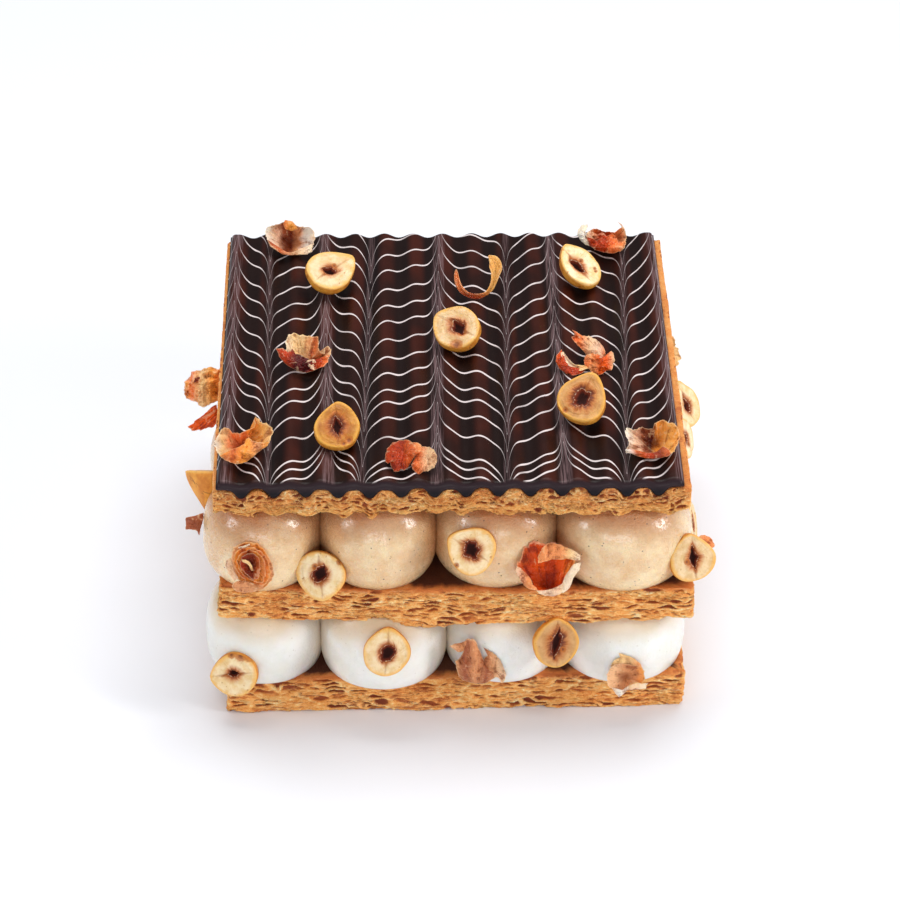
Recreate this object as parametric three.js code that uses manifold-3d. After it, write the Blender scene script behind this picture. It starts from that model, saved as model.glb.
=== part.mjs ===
// A square mille-feuille for several people: three sheets of flaky pastry with two layers of piped
// vanilla cream between them, a corrugated chocolate glaze on the top sheet, and split hazelnuts
// and curls of hazelnut skin on the glaze and in the cream.
// Millimetres. X runs to the right, Y to the back and Z up. The origin is the centre of the
// bottom sheet's underside, on which the cake rests.
import * as THREE from 'three';
import Module from 'manifold-3d';
import { mergeVertices } from 'three/addons/utils/BufferGeometryUtils.js';

const wasm = await Module();
wasm.setup();

// Heights of the stack, from the plate up
const BASE_TOP = 11.6;
const MIDDLE_UNDERSIDE = 33.1;
const MIDDLE_TOP = 43.5;
const TOP_SHEET_UNDERSIDE = 68.3;
const TOP_SHEET_TOP = 74.75;
const GLAZE_TOP = 78.6;

// The sheets, each laid on the cream a little askew
const SHEET_SIDE = 130;
const BASE_SHEET = { side: 129, shift: -0.4, turn: 0.7, seed: 1 };
const MIDDLE_SHEET = { side: 131.4, shift: 1.1, turn: -1, seed: 2 };
const TOP_SHEET = { left: -64.5, right: 65.5, shift: -1.6, seed: 3 };
const GLAZE_WIDTH = 126.3;
const GLAZE_DEPTH = 129.4;

// The glaze's upper edge is drawn in by its rounding, above this share of the glaze's thickness
const GLAZE_ROUNDING = 0.8;
const GLAZE_SHOULDER = 0.7;

// The corrugation of the top sheet and its glaze: crests and troughs run from front to back
const WAVE_PITCH = 8.7;
const WAVES = 14;
const STEPS_PER_WAVE = 6;
const SHEET_WAVE = 1.75;
const UNDERSIDE_WAVE = 0.9;
const GLAZE_WAVE = 0.7;

// Flaky edges: each sheet's side is a pile of leaves, every other one set well back. A proud leaf
// is set back by only a share of that, and a place on a leaf keeps a share of its neighbour's draw.
const LEAVES = 5;
const TOP_LEAVES = 2;
const LEAF_SET_BACK = 1.7;
const PROUD_LEAF = 0.25;
const NEIGHBOUR_SHARE = 0.4;
const EDGE_STEPS = 20;
const TOP_EDGE_STEPS = 12;

// Pieces that touch keep this clearance
const GAP = 0.3;

// The piped cream: four rows of four balls in each layer, listed from the front and from the left.
// Where two balls meet they are pressed flat, at PRESSED of the radius from the ball's middle. The
// balls of an inner row bite into each other.
const ROWS = 4;
const BALL_BITE = 0.1;
const BALL_SIDES = 14;
const BALL_RINGS = 5;
const HIDDEN_BALL_SIDES = 8;
const HIDDEN_BALL_RINGS = 2;
const PRESSED = 0.9;
const WHITE_CREAM = {
  name: 'white_cream',
  colour: 0xf3efe6,
  floor: BASE_TOP,
  ceiling: MIDDLE_UNDERSIDE,
  widest: 8.5,
  crown: 18,
  lefts: [-70, -68.6, -65.4, -65],
  creases: [-37.5, -2.5, 29.6],
  rights: [65.2, 64.6, 64, 64.4],
  fronts: [-68, -71, -68, -68.6],
  rowCreases: [-34.6, -0.4, 33.8],
  backs: [68.4, 69.6, 68.2, 69],
};
const BEIGE_CREAM = {
  name: 'beige_cream',
  colour: 0xdcc19a,
  floor: MIDDLE_TOP,
  ceiling: TOP_SHEET_UNDERSIDE - UNDERSIDE_WAVE,
  widest: 9,
  crown: 18,
  lefts: [-69.8, -69, -65.6, -65.2],
  creases: [-37.3, -5.3, 28.2],
  rights: [65.5, 64.4, 65.2, 64.2],
  fronts: [-68.6, -68.8, -68.2, -70.2],
  rowCreases: [-34.4, 0.2, 34],
  backs: [69, 68.2, 69.4, 68],
};

// Hazelnut halves: where each lies, its width, length to the tip and thickness, how its cut face
// is turned, the width and length of its hollow, and how deep it sinks where it isn't the usual.
// NUT_RINGS gives the rings of its round back, as shares of the cut face and of the thickness.
// The face points "towards" an azimuth, 0 to the front and 90 to the right, and "rise" degrees
// above level; "spin" turns the tip clockwise from straight up, seen from outside. A place is
// across and back on the glaze, and along the side and up on the four sides of the cake.
const NUT_SIDES = 12;
const NUT_SINK = 2.2;
const NUT_TIP_NARROWING = 0.25;
const NUT_ROUND_END = 0.94;
const NUT_TIP_GAIN = 0.12;
const NUT_HOLLOW_DEPTH = 0.45;
const NUT_RINGS = [
  { scale: 1, depth: 0 },
  { scale: 0.9, depth: 0.55 },
  { scale: 0.5, depth: 0.92 },
];
function nut(name, at, size, [towards, rise, spin], cavity, sink) {
  return { name, at, size, towards, rise, spin, cavity, sink };
}
const NUTS_ON_TOP = [
  nut('nut_top_1', [-34.9, 32.1], [12.8, 16.2, 6.6], [25, 66, 72], [3, 5.4]),
  nut('nut_top_2', [38.3, 34.8], [11, 14.6, 6.6], [26, 58, -16], [2.8, 5.2]),
  nut('nut_top_3', [1.5, 1.8], [13.4, 15, 6.8], [-30, 60, -78], [3.4, 4.8]),
  nut('nut_top_4', [-32.3, -46.8], [12.4, 13.8, 6.4], [0, 58, -4], [2.8, 5.6]),
  nut('nut_top_5', [35.2, -35.6], [14, 14.6, 6.8], [-12, 56, 16], [4.6, 5.2]),
];
const NUTS_IN_FRONT = [
  nut('nut_front_1', [-36.9, 49.9], [13.6, 13.8, 6.2], [-8, 28, 172], [4, 5]),
  nut('nut_front_2', [4.3, 59.1], [12.8, 14.2, 6], [0, 30, -56], [3.6, 4.8]),
  nut('nut_front_3', [65.4, 52.2], [12.6, 13.6, 6.4], [22, 25, 0], [3, 6]),
  nut('nut_front_4', [-61.4, 16.3], [12.6, 14, 6], [-14, 14, -104], [3, 4]),
  nut('nut_front_5', [-19, 26.8], [12.8, 13.8, 6], [-4, 30, 4], [4, 5.6]),
  nut('nut_front_6', [27.8, 28.2], [12.2, 13, 6.6], [12, 22, 6], [3.6, 7.4]),
];
const NUTS_AT_RIGHT = [
  nut('nut_right_1', [11.4, 52], [12.8, 13.6, 6.2], [62, 32, 10], [3.6, 5], 1),
  nut('nut_right_2', [-12.4, 57], [12.4, 13.4, 6], [76, 20, -12], [3.4, 5]),
  nut('nut_right_3', [-48.6, 52.8], [11.4, 12, 6], [80, 12, 20], [3.4, 5], 4.6),
];
const NUTS_AT_LEFT = [
  nut('nut_left_1', [-43, 60], [11.6, 13.8, 6.2], [-60, 24, -52], [3.4, 5], 1),
];
const NUTS_AT_BACK = [
  nut('nut_back_1', [-20, 55], [12.8, 13.8, 6.2], [176, 26, 30], [3.6, 5]),
  nut('nut_back_2', [34, 24], [12.4, 13.6, 6.2], [190, 22, -20], [3.4, 5]),
];

// Hazelnut skins: where each lies, the width and length of the flat skin, how it is bent, how it
// is turned, and its cells where they aren't the usual. "curl" is the angle, in degrees, through
// which the width is rolled, "cup" lifts the two ends, and "ruffle" waves the rim.
const SKIN_THICKNESS = 0.5;
const SKIN_CELLS = [6, 4];
const SKIN_RIM = 0.97;
const SKIN_RIM_WAVES = 3;
const TOP_SKIN_SEED = 40;
const SIDE_SKIN_SEED = 60;
function skin(name, at, size, [curl, cup, ruffle], [towards, rise, spin], cells) {
  return { name, at, size, curl, cup, ruffle, towards, rise, spin, cells };
}
const SKINS_ON_TOP = [
  skin('skin_top_1', [-47, 56.4], [19, 11], [150, 2, 1.1], [0, 58, 4]),
  skin('skin_top_2', [45.7, 55], [19, 10], [140, 2, 1.4], [10, 60, -6]),
  skin('skin_top_3', [-42.8, -8.1], [19.6, 12], [140, 2.4, 1.4], [-6, 56, 10]),
  skin('skin_top_4', [8.3, 27.2], [31, 4.4], [250, 0.3, 0.2], [180, 38, 6], [9, 2]),
  skin('skin_top_5', [36.2, -8.4], [20, 14], [120, 2, 1.8], [14, 56, 24]),
  skin('skin_top_6', [-58.4, -51.7], [19, 13], [130, 2.8, 1], [-4, 54, -14]),
  skin('skin_top_7', [-11.8, -56.6], [16, 11], [-120, -1.8, 0.8], [0, 68, 4]),
  skin('skin_top_8', [54.7, -51.6], [19, 11], [130, 1.6, 0.9], [-20, 60, 8]),
];
const SKINS_IN_FRONT = [
  skin('skin_front_1', [-56.6, 54], [14, 13], [110, 2.4, 1], [4, 30, 30]),
  skin('skin_front_2', [24.9, 50.9], [20.6, 14], [130, 2.6, 0.9], [-6, 26, -8]),
  skin('skin_front_3', [6.2, 21.8], [16.4, 11.6], [-60, -1, 1.1], [0, 36, 24]),
  skin('skin_front_4', [47.5, 16.2], [12, 12], [90, 1.6, 0.8], [0, 24, -20]),
];
const SKINS_AT_LEFT = [
  skin('skin_left_1', [-5, 70], [14.4, 11], [130, 2.2, 1.4], [-28, 34, -12]),
  skin('skin_left_2', [-9.6, 62], [11, 7], [60, 0.8, 0.6], [-34, 30, -30]),
  skin('skin_left_3', [-52.6, 56.6], [6.4, 5.8], [40, 0.5, 0.4], [-20, 24, 10]),
];
const SKINS_AT_RIGHT = [
  skin('skin_right_1', [-62.4, 55.8], [10.5, 5.4], [50, 0.5, 0.4], [18, 24, 10]),
  skin('skin_right_2', [26.5, 61], [14, 10], [110, 1.6, 1], [60, 24, 80]),
];
const SKINS_AT_BACK = [
  skin('skin_back_1', [28, 57], [17, 12], [130, 2.2, 1.2], [184, 26, 20]),
  skin('skin_back_2', [-36, 24], [15, 12], [110, 2, 1], [172, 24, -30]),
];

// A topping comes in from START outside its place and looks for a hold up to REACH further on
const START = 40;
const REACH = 60;
const OUTER_HALF = 72;
const CROWN_HEIGHT = 84;

const PASTRY = { color: 0xc98a45, roughness: 0.75, metalness: 0 };
const GLAZE = { color: 0x241714, roughness: 0.3, metalness: 0 };
const NUT = { color: 0xe6cf98, roughness: 0.6, metalness: 0 };
const SKIN = { color: 0xb06a3c, roughness: 0.6, metalness: 0, side: THREE.DoubleSide };

const radians = THREE.MathUtils.degToRad;
const lerp = THREE.MathUtils.lerp;

// A repeatable draw from 0 to 1, by the multiplicative generator known as the minimal standard
const RANDOM_MULTIPLIER = 16807;
const RANDOM_MODULUS = 2147483647;
const SEED_STRIDE = 7919;
const SEED_START = 17;
function seededRandom(seed) {
  let state = seed * SEED_STRIDE + SEED_START;
  return () => {
    state = (state * RANDOM_MULTIPLIER) % RANDOM_MODULUS;
    return state / RANDOM_MODULUS;
  };
}

function geometryFrom(positions, triangles) {
  const geometry = new THREE.BufferGeometry();
  geometry.setAttribute('position', new THREE.Float32BufferAttribute(positions, 3));
  geometry.setIndex(triangles);
  return geometry;
}

// The wave of the top sheet: 1 on a crest and -1 in a trough, level past the outermost lines
const OUTERMOST_LINE = (WAVES * WAVE_PITCH) / 2;
function wave(x) {
  const inside = THREE.MathUtils.clamp(x, -OUTERMOST_LINE, OUTERMOST_LINE);
  return Math.cos((2 * Math.PI * inside) / WAVE_PITCH);
}

function evenSteps(from, to, count) {
  return Array.from({ length: count + 1 }, (_, i) => lerp(from, to, i / count));
}

// The places along X where the corrugated pieces have a line from front to back
function corrugatedSteps(left, right) {
  return [left, ...evenSteps(-OUTERMOST_LINE, OUTERMOST_LINE, WAVES * STEPS_PER_WAVE), right];
}

// A slab between two surfaces that vary only along X. Its outline is walked once, anticlockwise
// from the front left corner, and repeated at each level; inset(level, place) draws a point of
// the outline inwards. Strips from front to back close the top and the underside.
function slabGeometry({ xs, front, back, edgeSteps, levels, underside, top, inset }) {
  const columns = xs.length - 1;
  const depths = evenSteps(front, back, edgeSteps);
  const inner = depths.slice(1, -1);
  const left = xs[0];
  const right = xs[columns];
  const outline = [
    ...xs.map((x) => [x, front]),
    ...inner.map((y) => [right, y]),
    ...[...xs].reverse().map((x) => [x, back]),
    ...[...inner].reverse().map((y) => [left, y]),
  ];
  const around = outline.length;
  const positions = [];
  levels.forEach((height, level) => {
    outline.forEach(([x, y], place) => {
      const depth = inset(level, place, around);
      const px = x === left ? x + depth : x === right ? x - depth : x;
      const py = y === front ? y + depth : y === back ? y - depth : y;
      positions.push(px, py, lerp(underside(x), top(x), height));
    });
  });
  const triangles = [];
  for (let level = 0; level < levels.length - 1; level++) {
    for (let place = 0; place < around; place++) {
      const next = (place + 1) % around;
      const low = level * around;
      const high = low + around;
      triangles.push(low + place, low + next, high + next, low + place, high + next, high + place);
    }
  }
  const frontAt = (column) => column;
  const rightAt = (row) => columns + row;
  const backAt = (column) => columns + edgeSteps + (columns - column);
  const leftAt = (row) => (2 * columns + edgeSteps + (edgeSteps - row)) % around;
  const cap = [];
  for (let column = 1; column < columns - 1; column++) {
    cap.push([frontAt(column), frontAt(column + 1), backAt(column + 1)]);
    cap.push([frontAt(column), backAt(column + 1), backAt(column)]);
  }
  const middle = Math.floor(edgeSteps / 2);
  for (let row = 0; row < edgeSteps; row++) {
    const nearFront = row < middle;
    cap.push([nearFront ? frontAt(columns - 1) : backAt(columns - 1), rightAt(row), rightAt(row + 1)]);
    cap.push([nearFront ? frontAt(1) : backAt(1), leftAt(row + 1), leftAt(row)]);
  }
  cap.push([frontAt(columns - 1), rightAt(middle), backAt(columns - 1)]);
  cap.push([frontAt(1), backAt(1), leftAt(middle)]);
  const topLoop = (levels.length - 1) * around;
  for (const [a, b, c] of cap) {
    triangles.push(topLoop + a, topLoop + b, topLoop + c);
    triangles.push(a, c, b);
  }
  return geometryFrom(positions, triangles);
}

// How far each leaf of pastry is set back at each place along it
function flakyInset(seed, around, count) {
  const random = seededRandom(seed);
  const depths = [];
  for (let level = 0; level <= count; level++) {
    const setBack = LEAF_SET_BACK * (level % 2 === 1 ? 1 : PROUD_LEAF);
    const draws = Array.from({ length: around }, random);
    depths.push(draws.map((draw, i) => setBack * lerp(draw, draws.at(i - 1), NEIGHBOUR_SHARE)));
  }
  return (level, place) => depths[level][place];
}

function flatSheet({ side, seed, underside, top }) {
  const half = side / 2;
  const xs = evenSteps(-half, half, EDGE_STEPS);
  return slabGeometry({
    xs,
    front: -half,
    back: half,
    edgeSteps: EDGE_STEPS,
    levels: evenSteps(0, 1, LEAVES),
    underside: () => underside,
    top: () => top,
    inset: flakyInset(seed, 4 * EDGE_STEPS, LEAVES),
  });
}

function corrugatedSheet() {
  const xs = corrugatedSteps(TOP_SHEET.left, TOP_SHEET.right);
  const half = SHEET_SIDE / 2;
  const around = 2 * (xs.length - 1) + 2 * TOP_EDGE_STEPS;
  return slabGeometry({
    xs,
    front: -half,
    back: half,
    edgeSteps: TOP_EDGE_STEPS,
    levels: evenSteps(0, 1, TOP_LEAVES),
    underside: (x) => TOP_SHEET_UNDERSIDE + UNDERSIDE_WAVE * wave(x),
    top: (x) => TOP_SHEET_TOP + SHEET_WAVE * wave(x),
    inset: flakyInset(TOP_SHEET.seed, around, TOP_LEAVES),
  });
}

// The glaze fills the sheet's troughs from above
function glazeGeometry() {
  const half = GLAZE_WIDTH / 2;
  const levels = [0, GLAZE_SHOULDER, 1];
  const front = -SHEET_SIDE / 2;
  return slabGeometry({
    xs: corrugatedSteps(-half, half),
    front,
    back: front + GLAZE_DEPTH,
    edgeSteps: TOP_EDGE_STEPS,
    levels,
    underside: (x) => TOP_SHEET_TOP + SHEET_WAVE * wave(x) + GAP,
    top: (x) => GLAZE_TOP + GLAZE_WAVE * wave(x),
    inset: (level) => (levels[level] === 1 ? GLAZE_ROUNDING : 0),
  });
}

// A piped ball: an ellipsoid cut level by the sheets below and above it, widest low down, and
// pressed flat against the balls it meets. A bound of the ball is free where it is an outer
// side of the cake; there the ball keeps its full round.
function ballGeometry({ x, y, freeX, freeY, floor, ceiling, widest, crown, sides, rings }) {
  const spread = ([low, high], free) => {
    const radius = (high - low) / (free === undefined ? 2 * PRESSED : 1 + PRESSED);
    const centre = { 0: low + radius, 1: high - radius }[free] ?? (low + high) / 2;
    return [centre, radius];
  };
  const [centreX, radiusX] = spread(x, freeX);
  const [centreY, radiusY] = spread(y, freeY);
  const centreZ = floor + widest;
  const lowest = Math.asin((floor - centreZ) / crown);
  const highest = Math.asin((ceiling - centreZ) / crown);
  const positions = [];
  for (const latitude of evenSteps(lowest, highest, rings)) {
    const reach = Math.cos(latitude);
    for (let side = 0; side < sides; side++) {
      const angle = (2 * Math.PI * side) / sides;
      positions.push(
        THREE.MathUtils.clamp(centreX + radiusX * reach * Math.cos(angle), x[0], x[1]),
        THREE.MathUtils.clamp(centreY + radiusY * reach * Math.sin(angle), y[0], y[1]),
        centreZ + crown * Math.sin(latitude),
      );
    }
  }
  const triangles = [];
  for (let ring = 0; ring < rings; ring++) {
    for (let side = 0; side < sides; side++) {
      const next = (side + 1) % sides;
      const low = ring * sides;
      const high = low + sides;
      triangles.push(low + side, low + next, high + next, low + side, high + next, high + side);
    }
  }
  const topRing = rings * sides;
  for (let side = 1; side < sides - 1; side++) {
    triangles.push(topRing, topRing + side, topRing + side + 1);
    triangles.push(0, side + 1, side);
  }
  return geometryFrom(positions, triangles);
}

// One ball of a layer, by its row from the front and its column from the left
function creamBall(layer, row, column, joined) {
  const last = ROWS - 1;
  const clearance = joined ? -BALL_BITE : GAP / 2;
  const left = column === 0 ? layer.lefts[row] : layer.creases[column - 1] + clearance;
  const right = column === last ? layer.rights[row] : layer.creases[column] - clearance;
  const front = row === 0 ? layer.fronts[column] : layer.rowCreases[row - 1] + GAP / 2;
  const back = row === last ? layer.backs[column] : layer.rowCreases[row] - GAP / 2;
  const hidden = row > 0 && row < last && column > 0 && column < last;
  return ballGeometry({
    x: [left, right],
    y: [front, back],
    freeX: { 0: 0, [last]: 1 }[column],
    freeY: { 0: 0, [last]: 1 }[row],
    floor: layer.floor + GAP,
    ceiling: layer.ceiling - GAP,
    widest: layer.widest,
    crown: layer.crown,
    sides: hidden ? HIDDEN_BALL_SIDES : BALL_SIDES,
    rings: hidden ? HIDDEN_BALL_RINGS : BALL_RINGS,
  });
}

// Half a hazelnut, cut face up at Z 0 and tip along +Y. "grow" makes the same form larger all
// round and without its cavity, to press a pocket in the cream.
function nutGeometry({ size, cavity }, grow = 0) {
  const [width, length, thickness] = size;
  const outline = [];
  for (let side = 0; side < NUT_SIDES; side++) {
    const angle = (2 * Math.PI * side) / NUT_SIDES;
    const tip = Math.max(0, Math.sin(angle)) ** 3;
    const across = (width / 2 + grow) * Math.cos(angle) * (1 - NUT_TIP_NARROWING * tip);
    const along = (length / 2 + grow) * Math.sin(angle) * (NUT_ROUND_END + NUT_TIP_GAIN * tip);
    outline.push([across, along]);
  }
  const positions = NUT_RINGS.flatMap(({ scale, depth }) => {
    const z = depth > 0 ? -depth * (thickness + grow) : grow;
    return outline.flatMap(([x, y]) => [x * scale, y * scale, z]);
  });
  const bottom = positions.length / 3;
  positions.push(0, 0, -(thickness + grow));
  const triangles = [];
  const band = (upper, lower) => {
    for (let side = 0; side < NUT_SIDES; side++) {
      const next = (side + 1) % NUT_SIDES;
      triangles.push(lower + side, lower + next, upper + next, lower + side, upper + next, upper + side);
    }
  };
  band(0, NUT_SIDES);
  band(NUT_SIDES, 2 * NUT_SIDES);
  const fan = (ring, point, up) => {
    for (let side = 0; side < NUT_SIDES; side++) {
      const next = (side + 1) % NUT_SIDES;
      const pair = up ? [ring + side, ring + next] : [ring + next, ring + side];
      triangles.push(point, ...pair);
    }
  };
  fan(2 * NUT_SIDES, bottom, false);
  if (grow > 0) {
    positions.push(0, 0, grow);
    fan(0, bottom + 1, true);
    return geometryFrom(positions, triangles);
  }
  const hollow = positions.length / 3;
  for (let side = 0; side < NUT_SIDES; side++) {
    const angle = (2 * Math.PI * side) / NUT_SIDES;
    positions.push((cavity[0] / 2) * Math.cos(angle), (cavity[1] / 2) * Math.sin(angle), 0);
  }
  positions.push(0, 0, -NUT_HOLLOW_DEPTH * thickness);
  band(hollow, 0);
  fan(hollow, hollow + NUT_SIDES, true);
  return geometryFrom(positions, triangles);
}

// A curl of skin: a sheet rounded from square to oval, rolled across its width, its ends cupped
// and its rim waved, then given an even thickness. Both faces are split alike.
function skinGeometry({ size, curl, cup, ruffle, cells = SKIN_CELLS }, seed) {
  const [width, length] = size;
  const phase = 2 * Math.PI * seededRandom(seed)();
  const [across, along] = cells;
  const roll = radians(curl);
  const surface = (u, v) => {
    const x = u * Math.sqrt(1 - (v * v) / 2);
    const y = v * Math.sqrt(1 - (u * u) / 2);
    const angle = (x * roll) / 2;
    const rollRadius = width / roll;
    const rim = Math.min(1, x * x + y * y);
    const rimWave = Math.sin(SKIN_RIM_WAVES * Math.atan2(y, x) + phase);
    const lift = ruffle * rim * rimWave + cup * y * y;
    const inwards = rollRadius - lift;
    const height = rollRadius - inwards * Math.cos(angle);
    return new THREE.Vector3(inwards * Math.sin(angle), (length / 2) * y, height);
  };
  const small = 0.01;
  const normalAt = (u, v) => {
    const alongU = surface(u + small, v).sub(surface(u - small, v));
    const alongV = surface(u, v + small).sub(surface(u, v - small));
    return alongU.cross(alongV).normalize();
  };
  const positions = [];
  for (const face of [0.5, -0.5]) {
    for (const v of evenSteps(-SKIN_RIM, SKIN_RIM, along)) {
      for (const u of evenSteps(-SKIN_RIM, SKIN_RIM, across)) {
        const point = surface(u, v).addScaledVector(normalAt(u, v), face * SKIN_THICKNESS);
        positions.push(point.x, point.y, point.z);
      }
    }
  }
  const row = across + 1;
  const under = row * (along + 1);
  const triangles = [];
  for (let j = 0; j < along; j++) {
    for (let i = 0; i < across; i++) {
      const a = j * row + i;
      const corners = [a, a + 1, a + row + 1, a + row];
      const [p, q, r, s] = corners;
      triangles.push(p, q, r, p, r, s);
      triangles.push(under + p, under + r, under + q, under + p, under + s, under + r);
    }
  }
  const rim = [];
  for (let i = 0; i < across; i++) rim.push(i);
  for (let j = 0; j < along; j++) rim.push(j * row + across);
  for (let i = across; i > 0; i--) rim.push(along * row + i);
  for (let j = along; j > 0; j--) rim.push(j * row);
  rim.forEach((a, i) => {
    const b = rim[(i + 1) % rim.length];
    triangles.push(under + a, under + b, b, under + a, b, a);
  });
  return geometryFrom(positions, triangles);
}

// The turn of a topping whose face points towards an azimuth and a rise, with its tip spun
function facing({ towards, rise, spin }) {
  const azimuth = radians(towards);
  const elevation = radians(rise);
  const turn = radians(spin);
  const normal = new THREE.Vector3(
    Math.sin(azimuth) * Math.cos(elevation),
    -Math.cos(azimuth) * Math.cos(elevation),
    Math.sin(elevation),
  );
  const up = new THREE.Vector3(
    -Math.sin(azimuth) * Math.sin(elevation),
    Math.cos(azimuth) * Math.sin(elevation),
    Math.cos(elevation),
  );
  const right = new THREE.Vector3().crossVectors(up, normal);
  const tip = up.clone().multiplyScalar(Math.cos(turn)).addScaledVector(right, Math.sin(turn));
  const side = new THREE.Vector3().crossVectors(tip, normal);
  return new THREE.Matrix4().makeBasis(side, tip, normal);
}

function solidFrom(geometry, matrix = new THREE.Matrix4()) {
  const bare = geometry.clone().applyMatrix4(matrix);
  bare.deleteAttribute('normal');
  bare.deleteAttribute('uv');
  const merged = mergeVertices(bare, 1e-4);
  return new wasm.Manifold(
    new wasm.Mesh({
      numProp: 3,
      vertProperties: new Float32Array(merged.getAttribute('position').array),
      triVerts: new Uint32Array(merged.getIndex().array),
    }),
  );
}

function geometryOf(solid) {
  const mesh = solid.getMesh();
  const positions = [];
  for (let i = 0; i < mesh.vertProperties.length; i += mesh.numProp) {
    positions.push(...mesh.vertProperties.slice(i, i + 3));
  }
  return geometryFrom(positions, Array.from(mesh.triVerts));
}

const cake = new THREE.Group();
const solids = new Map();

// Adds one named piece and keeps its solid, so that later pieces can be laid against it
function addPiece(name, geometry, finish, matrix = new THREE.Matrix4()) {
  const mesh = new THREE.Mesh(geometry, new THREE.MeshStandardMaterial(finish));
  mesh.name = name;
  mesh.applyMatrix4(matrix);
  cake.add(mesh);
  solids.set(name, solidFrom(geometry, matrix));
  return mesh;
}

function placed(shift, turn) {
  return new THREE.Matrix4().makeRotationZ(radians(turn)).setPosition(shift, 0, 0);
}

function touches(solid, obstacles) {
  return obstacles.some((name) => solid.intersect(solids.get(name)).volume() > 0);
}

// How far a solid can travel along a direction before it meets an obstacle
function freeTravel(solid, direction, obstacles, reach) {
  const halvings = 12;
  let clear = 0;
  let blocked = reach;
  for (let i = 0; i < halvings; i++) {
    const middle = (clear + blocked) / 2;
    const { x, y, z } = direction.clone().multiplyScalar(middle);
    if (touches(solid.translate([x, y, z]), obstacles)) blocked = middle;
    else clear = middle;
  }
  return clear;
}

// Lays a piece against the cake: it comes in from outside along a direction and stops where it
// meets something firm, or "sink" deep in the cream
function lay(piece, geometry, from, direction, firm, cream, sink) {
  const start = from.clone().addScaledVector(direction, -START);
  const matrix = facing(piece).setPosition(start);
  const solid = solidFrom(geometry, matrix);
  const toFirm = freeTravel(solid, direction, firm, REACH) - GAP;
  const toCream = cream.length > 0 ? freeTravel(solid, direction, cream, REACH) + sink : REACH;
  return facing(piece).setPosition(start.addScaledVector(direction, Math.min(toFirm, toCream)));
}

function pressPocket(half, matrix) {
  const pocket = solidFrom(nutGeometry(half, GAP), matrix);
  for (const name of creamNames) {
    const cream = solids.get(name);
    if (cream.intersect(pocket).volume() > 0) {
      const cut = cream.subtract(pocket);
      solids.set(name, cut);
      cake.getObjectByName(name).geometry = geometryOf(cut);
    }
  }
}

// The sheets and the glaze
addPiece(
  'base_pastry',
  flatSheet({ ...BASE_SHEET, underside: 0, top: BASE_TOP }),
  PASTRY,
  placed(BASE_SHEET.shift, BASE_SHEET.turn),
);
addPiece(
  'middle_pastry',
  flatSheet({ ...MIDDLE_SHEET, underside: MIDDLE_UNDERSIDE, top: MIDDLE_TOP }),
  PASTRY,
  placed(MIDDLE_SHEET.shift, MIDDLE_SHEET.turn),
);
addPiece('top_pastry', corrugatedSheet(), PASTRY, placed(TOP_SHEET.shift, 0));
addPiece('chocolate_glaze', glazeGeometry(), GLAZE, placed(TOP_SHEET.shift, 0));
const sheetNames = ['base_pastry', 'middle_pastry', 'top_pastry', 'chocolate_glaze'];

// The cream: the front and back rows ball by ball, and the two inner rows each as one piece
const creamNames = [];
for (const layer of [WHITE_CREAM, BEIGE_CREAM]) {
  const finish = { color: layer.colour, roughness: 0.45, metalness: 0 };
  for (const [row, side] of [[0, 'front'], [ROWS - 1, 'back']]) {
    for (let column = 0; column < ROWS; column++) {
      const name = `${layer.name}_${side}_${column + 1}`;
      addPiece(name, creamBall(layer, row, column, false), finish);
      creamNames.push(name);
    }
  }
  for (let row = 1; row < ROWS - 1; row++) {
    const name = `${layer.name}_row_${row + 1}`;
    let whole = solidFrom(creamBall(layer, row, 0, true));
    for (let column = 1; column < ROWS; column++) {
      whole = whole.add(solidFrom(creamBall(layer, row, column, true)));
    }
    addPiece(name, geometryOf(whole), finish);
    creamNames.push(name);
  }
}

// The toppings, each laid against what is there already
const toppingNames = [];

function addTopping(piece, geometry, finish, from, direction, usualSink) {
  const sink = piece.sink ?? usualSink;
  const presses = sink > 0;
  const firm = [...sheetNames, ...toppingNames, ...(presses ? [] : creamNames)];
  const matrix = lay(piece, geometry, from, direction, firm, presses ? creamNames : [], sink);
  if (presses) pressPocket(piece, matrix);
  addPiece(piece.name, geometry, finish, matrix);
  toppingNames.push(piece.name);
}

const DOWN = new THREE.Vector3(0, 0, -1);
const SIDES = [
  { direction: new THREE.Vector3(0, 1, 0), nuts: NUTS_IN_FRONT, skins: SKINS_IN_FRONT },
  { direction: new THREE.Vector3(0, -1, 0), nuts: NUTS_AT_BACK, skins: SKINS_AT_BACK },
  { direction: new THREE.Vector3(1, 0, 0), nuts: NUTS_AT_LEFT, skins: SKINS_AT_LEFT },
  { direction: new THREE.Vector3(-1, 0, 0), nuts: NUTS_AT_RIGHT, skins: SKINS_AT_RIGHT },
];

const aboveGlaze = ([x, y]) => new THREE.Vector3(x, y, CROWN_HEIGHT);
for (const half of NUTS_ON_TOP) {
  addTopping(half, nutGeometry(half), NUT, aboveGlaze(half.at), DOWN, 0);
}
SKINS_ON_TOP.forEach((curl, i) => {
  addTopping(curl, skinGeometry(curl, TOP_SKIN_SEED + i), SKIN, aboveGlaze(curl.at), DOWN, 0);
});
for (const { direction, nuts, skins } of SIDES) {
  const outside = ([along, height]) => {
    const onSide = direction.x === 0 ? [along, 0, height] : [0, along, height];
    return new THREE.Vector3(...onSide).addScaledVector(direction, -OUTER_HALF);
  };
  for (const half of nuts) {
    addTopping(half, nutGeometry(half), NUT, outside(half.at), direction, NUT_SINK);
  }
  skins.forEach((curl, i) => {
    addTopping(curl, skinGeometry(curl, SIDE_SKIN_SEED + i), SKIN, outside(curl.at), direction, 0);
  });
}

export default cake;
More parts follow.
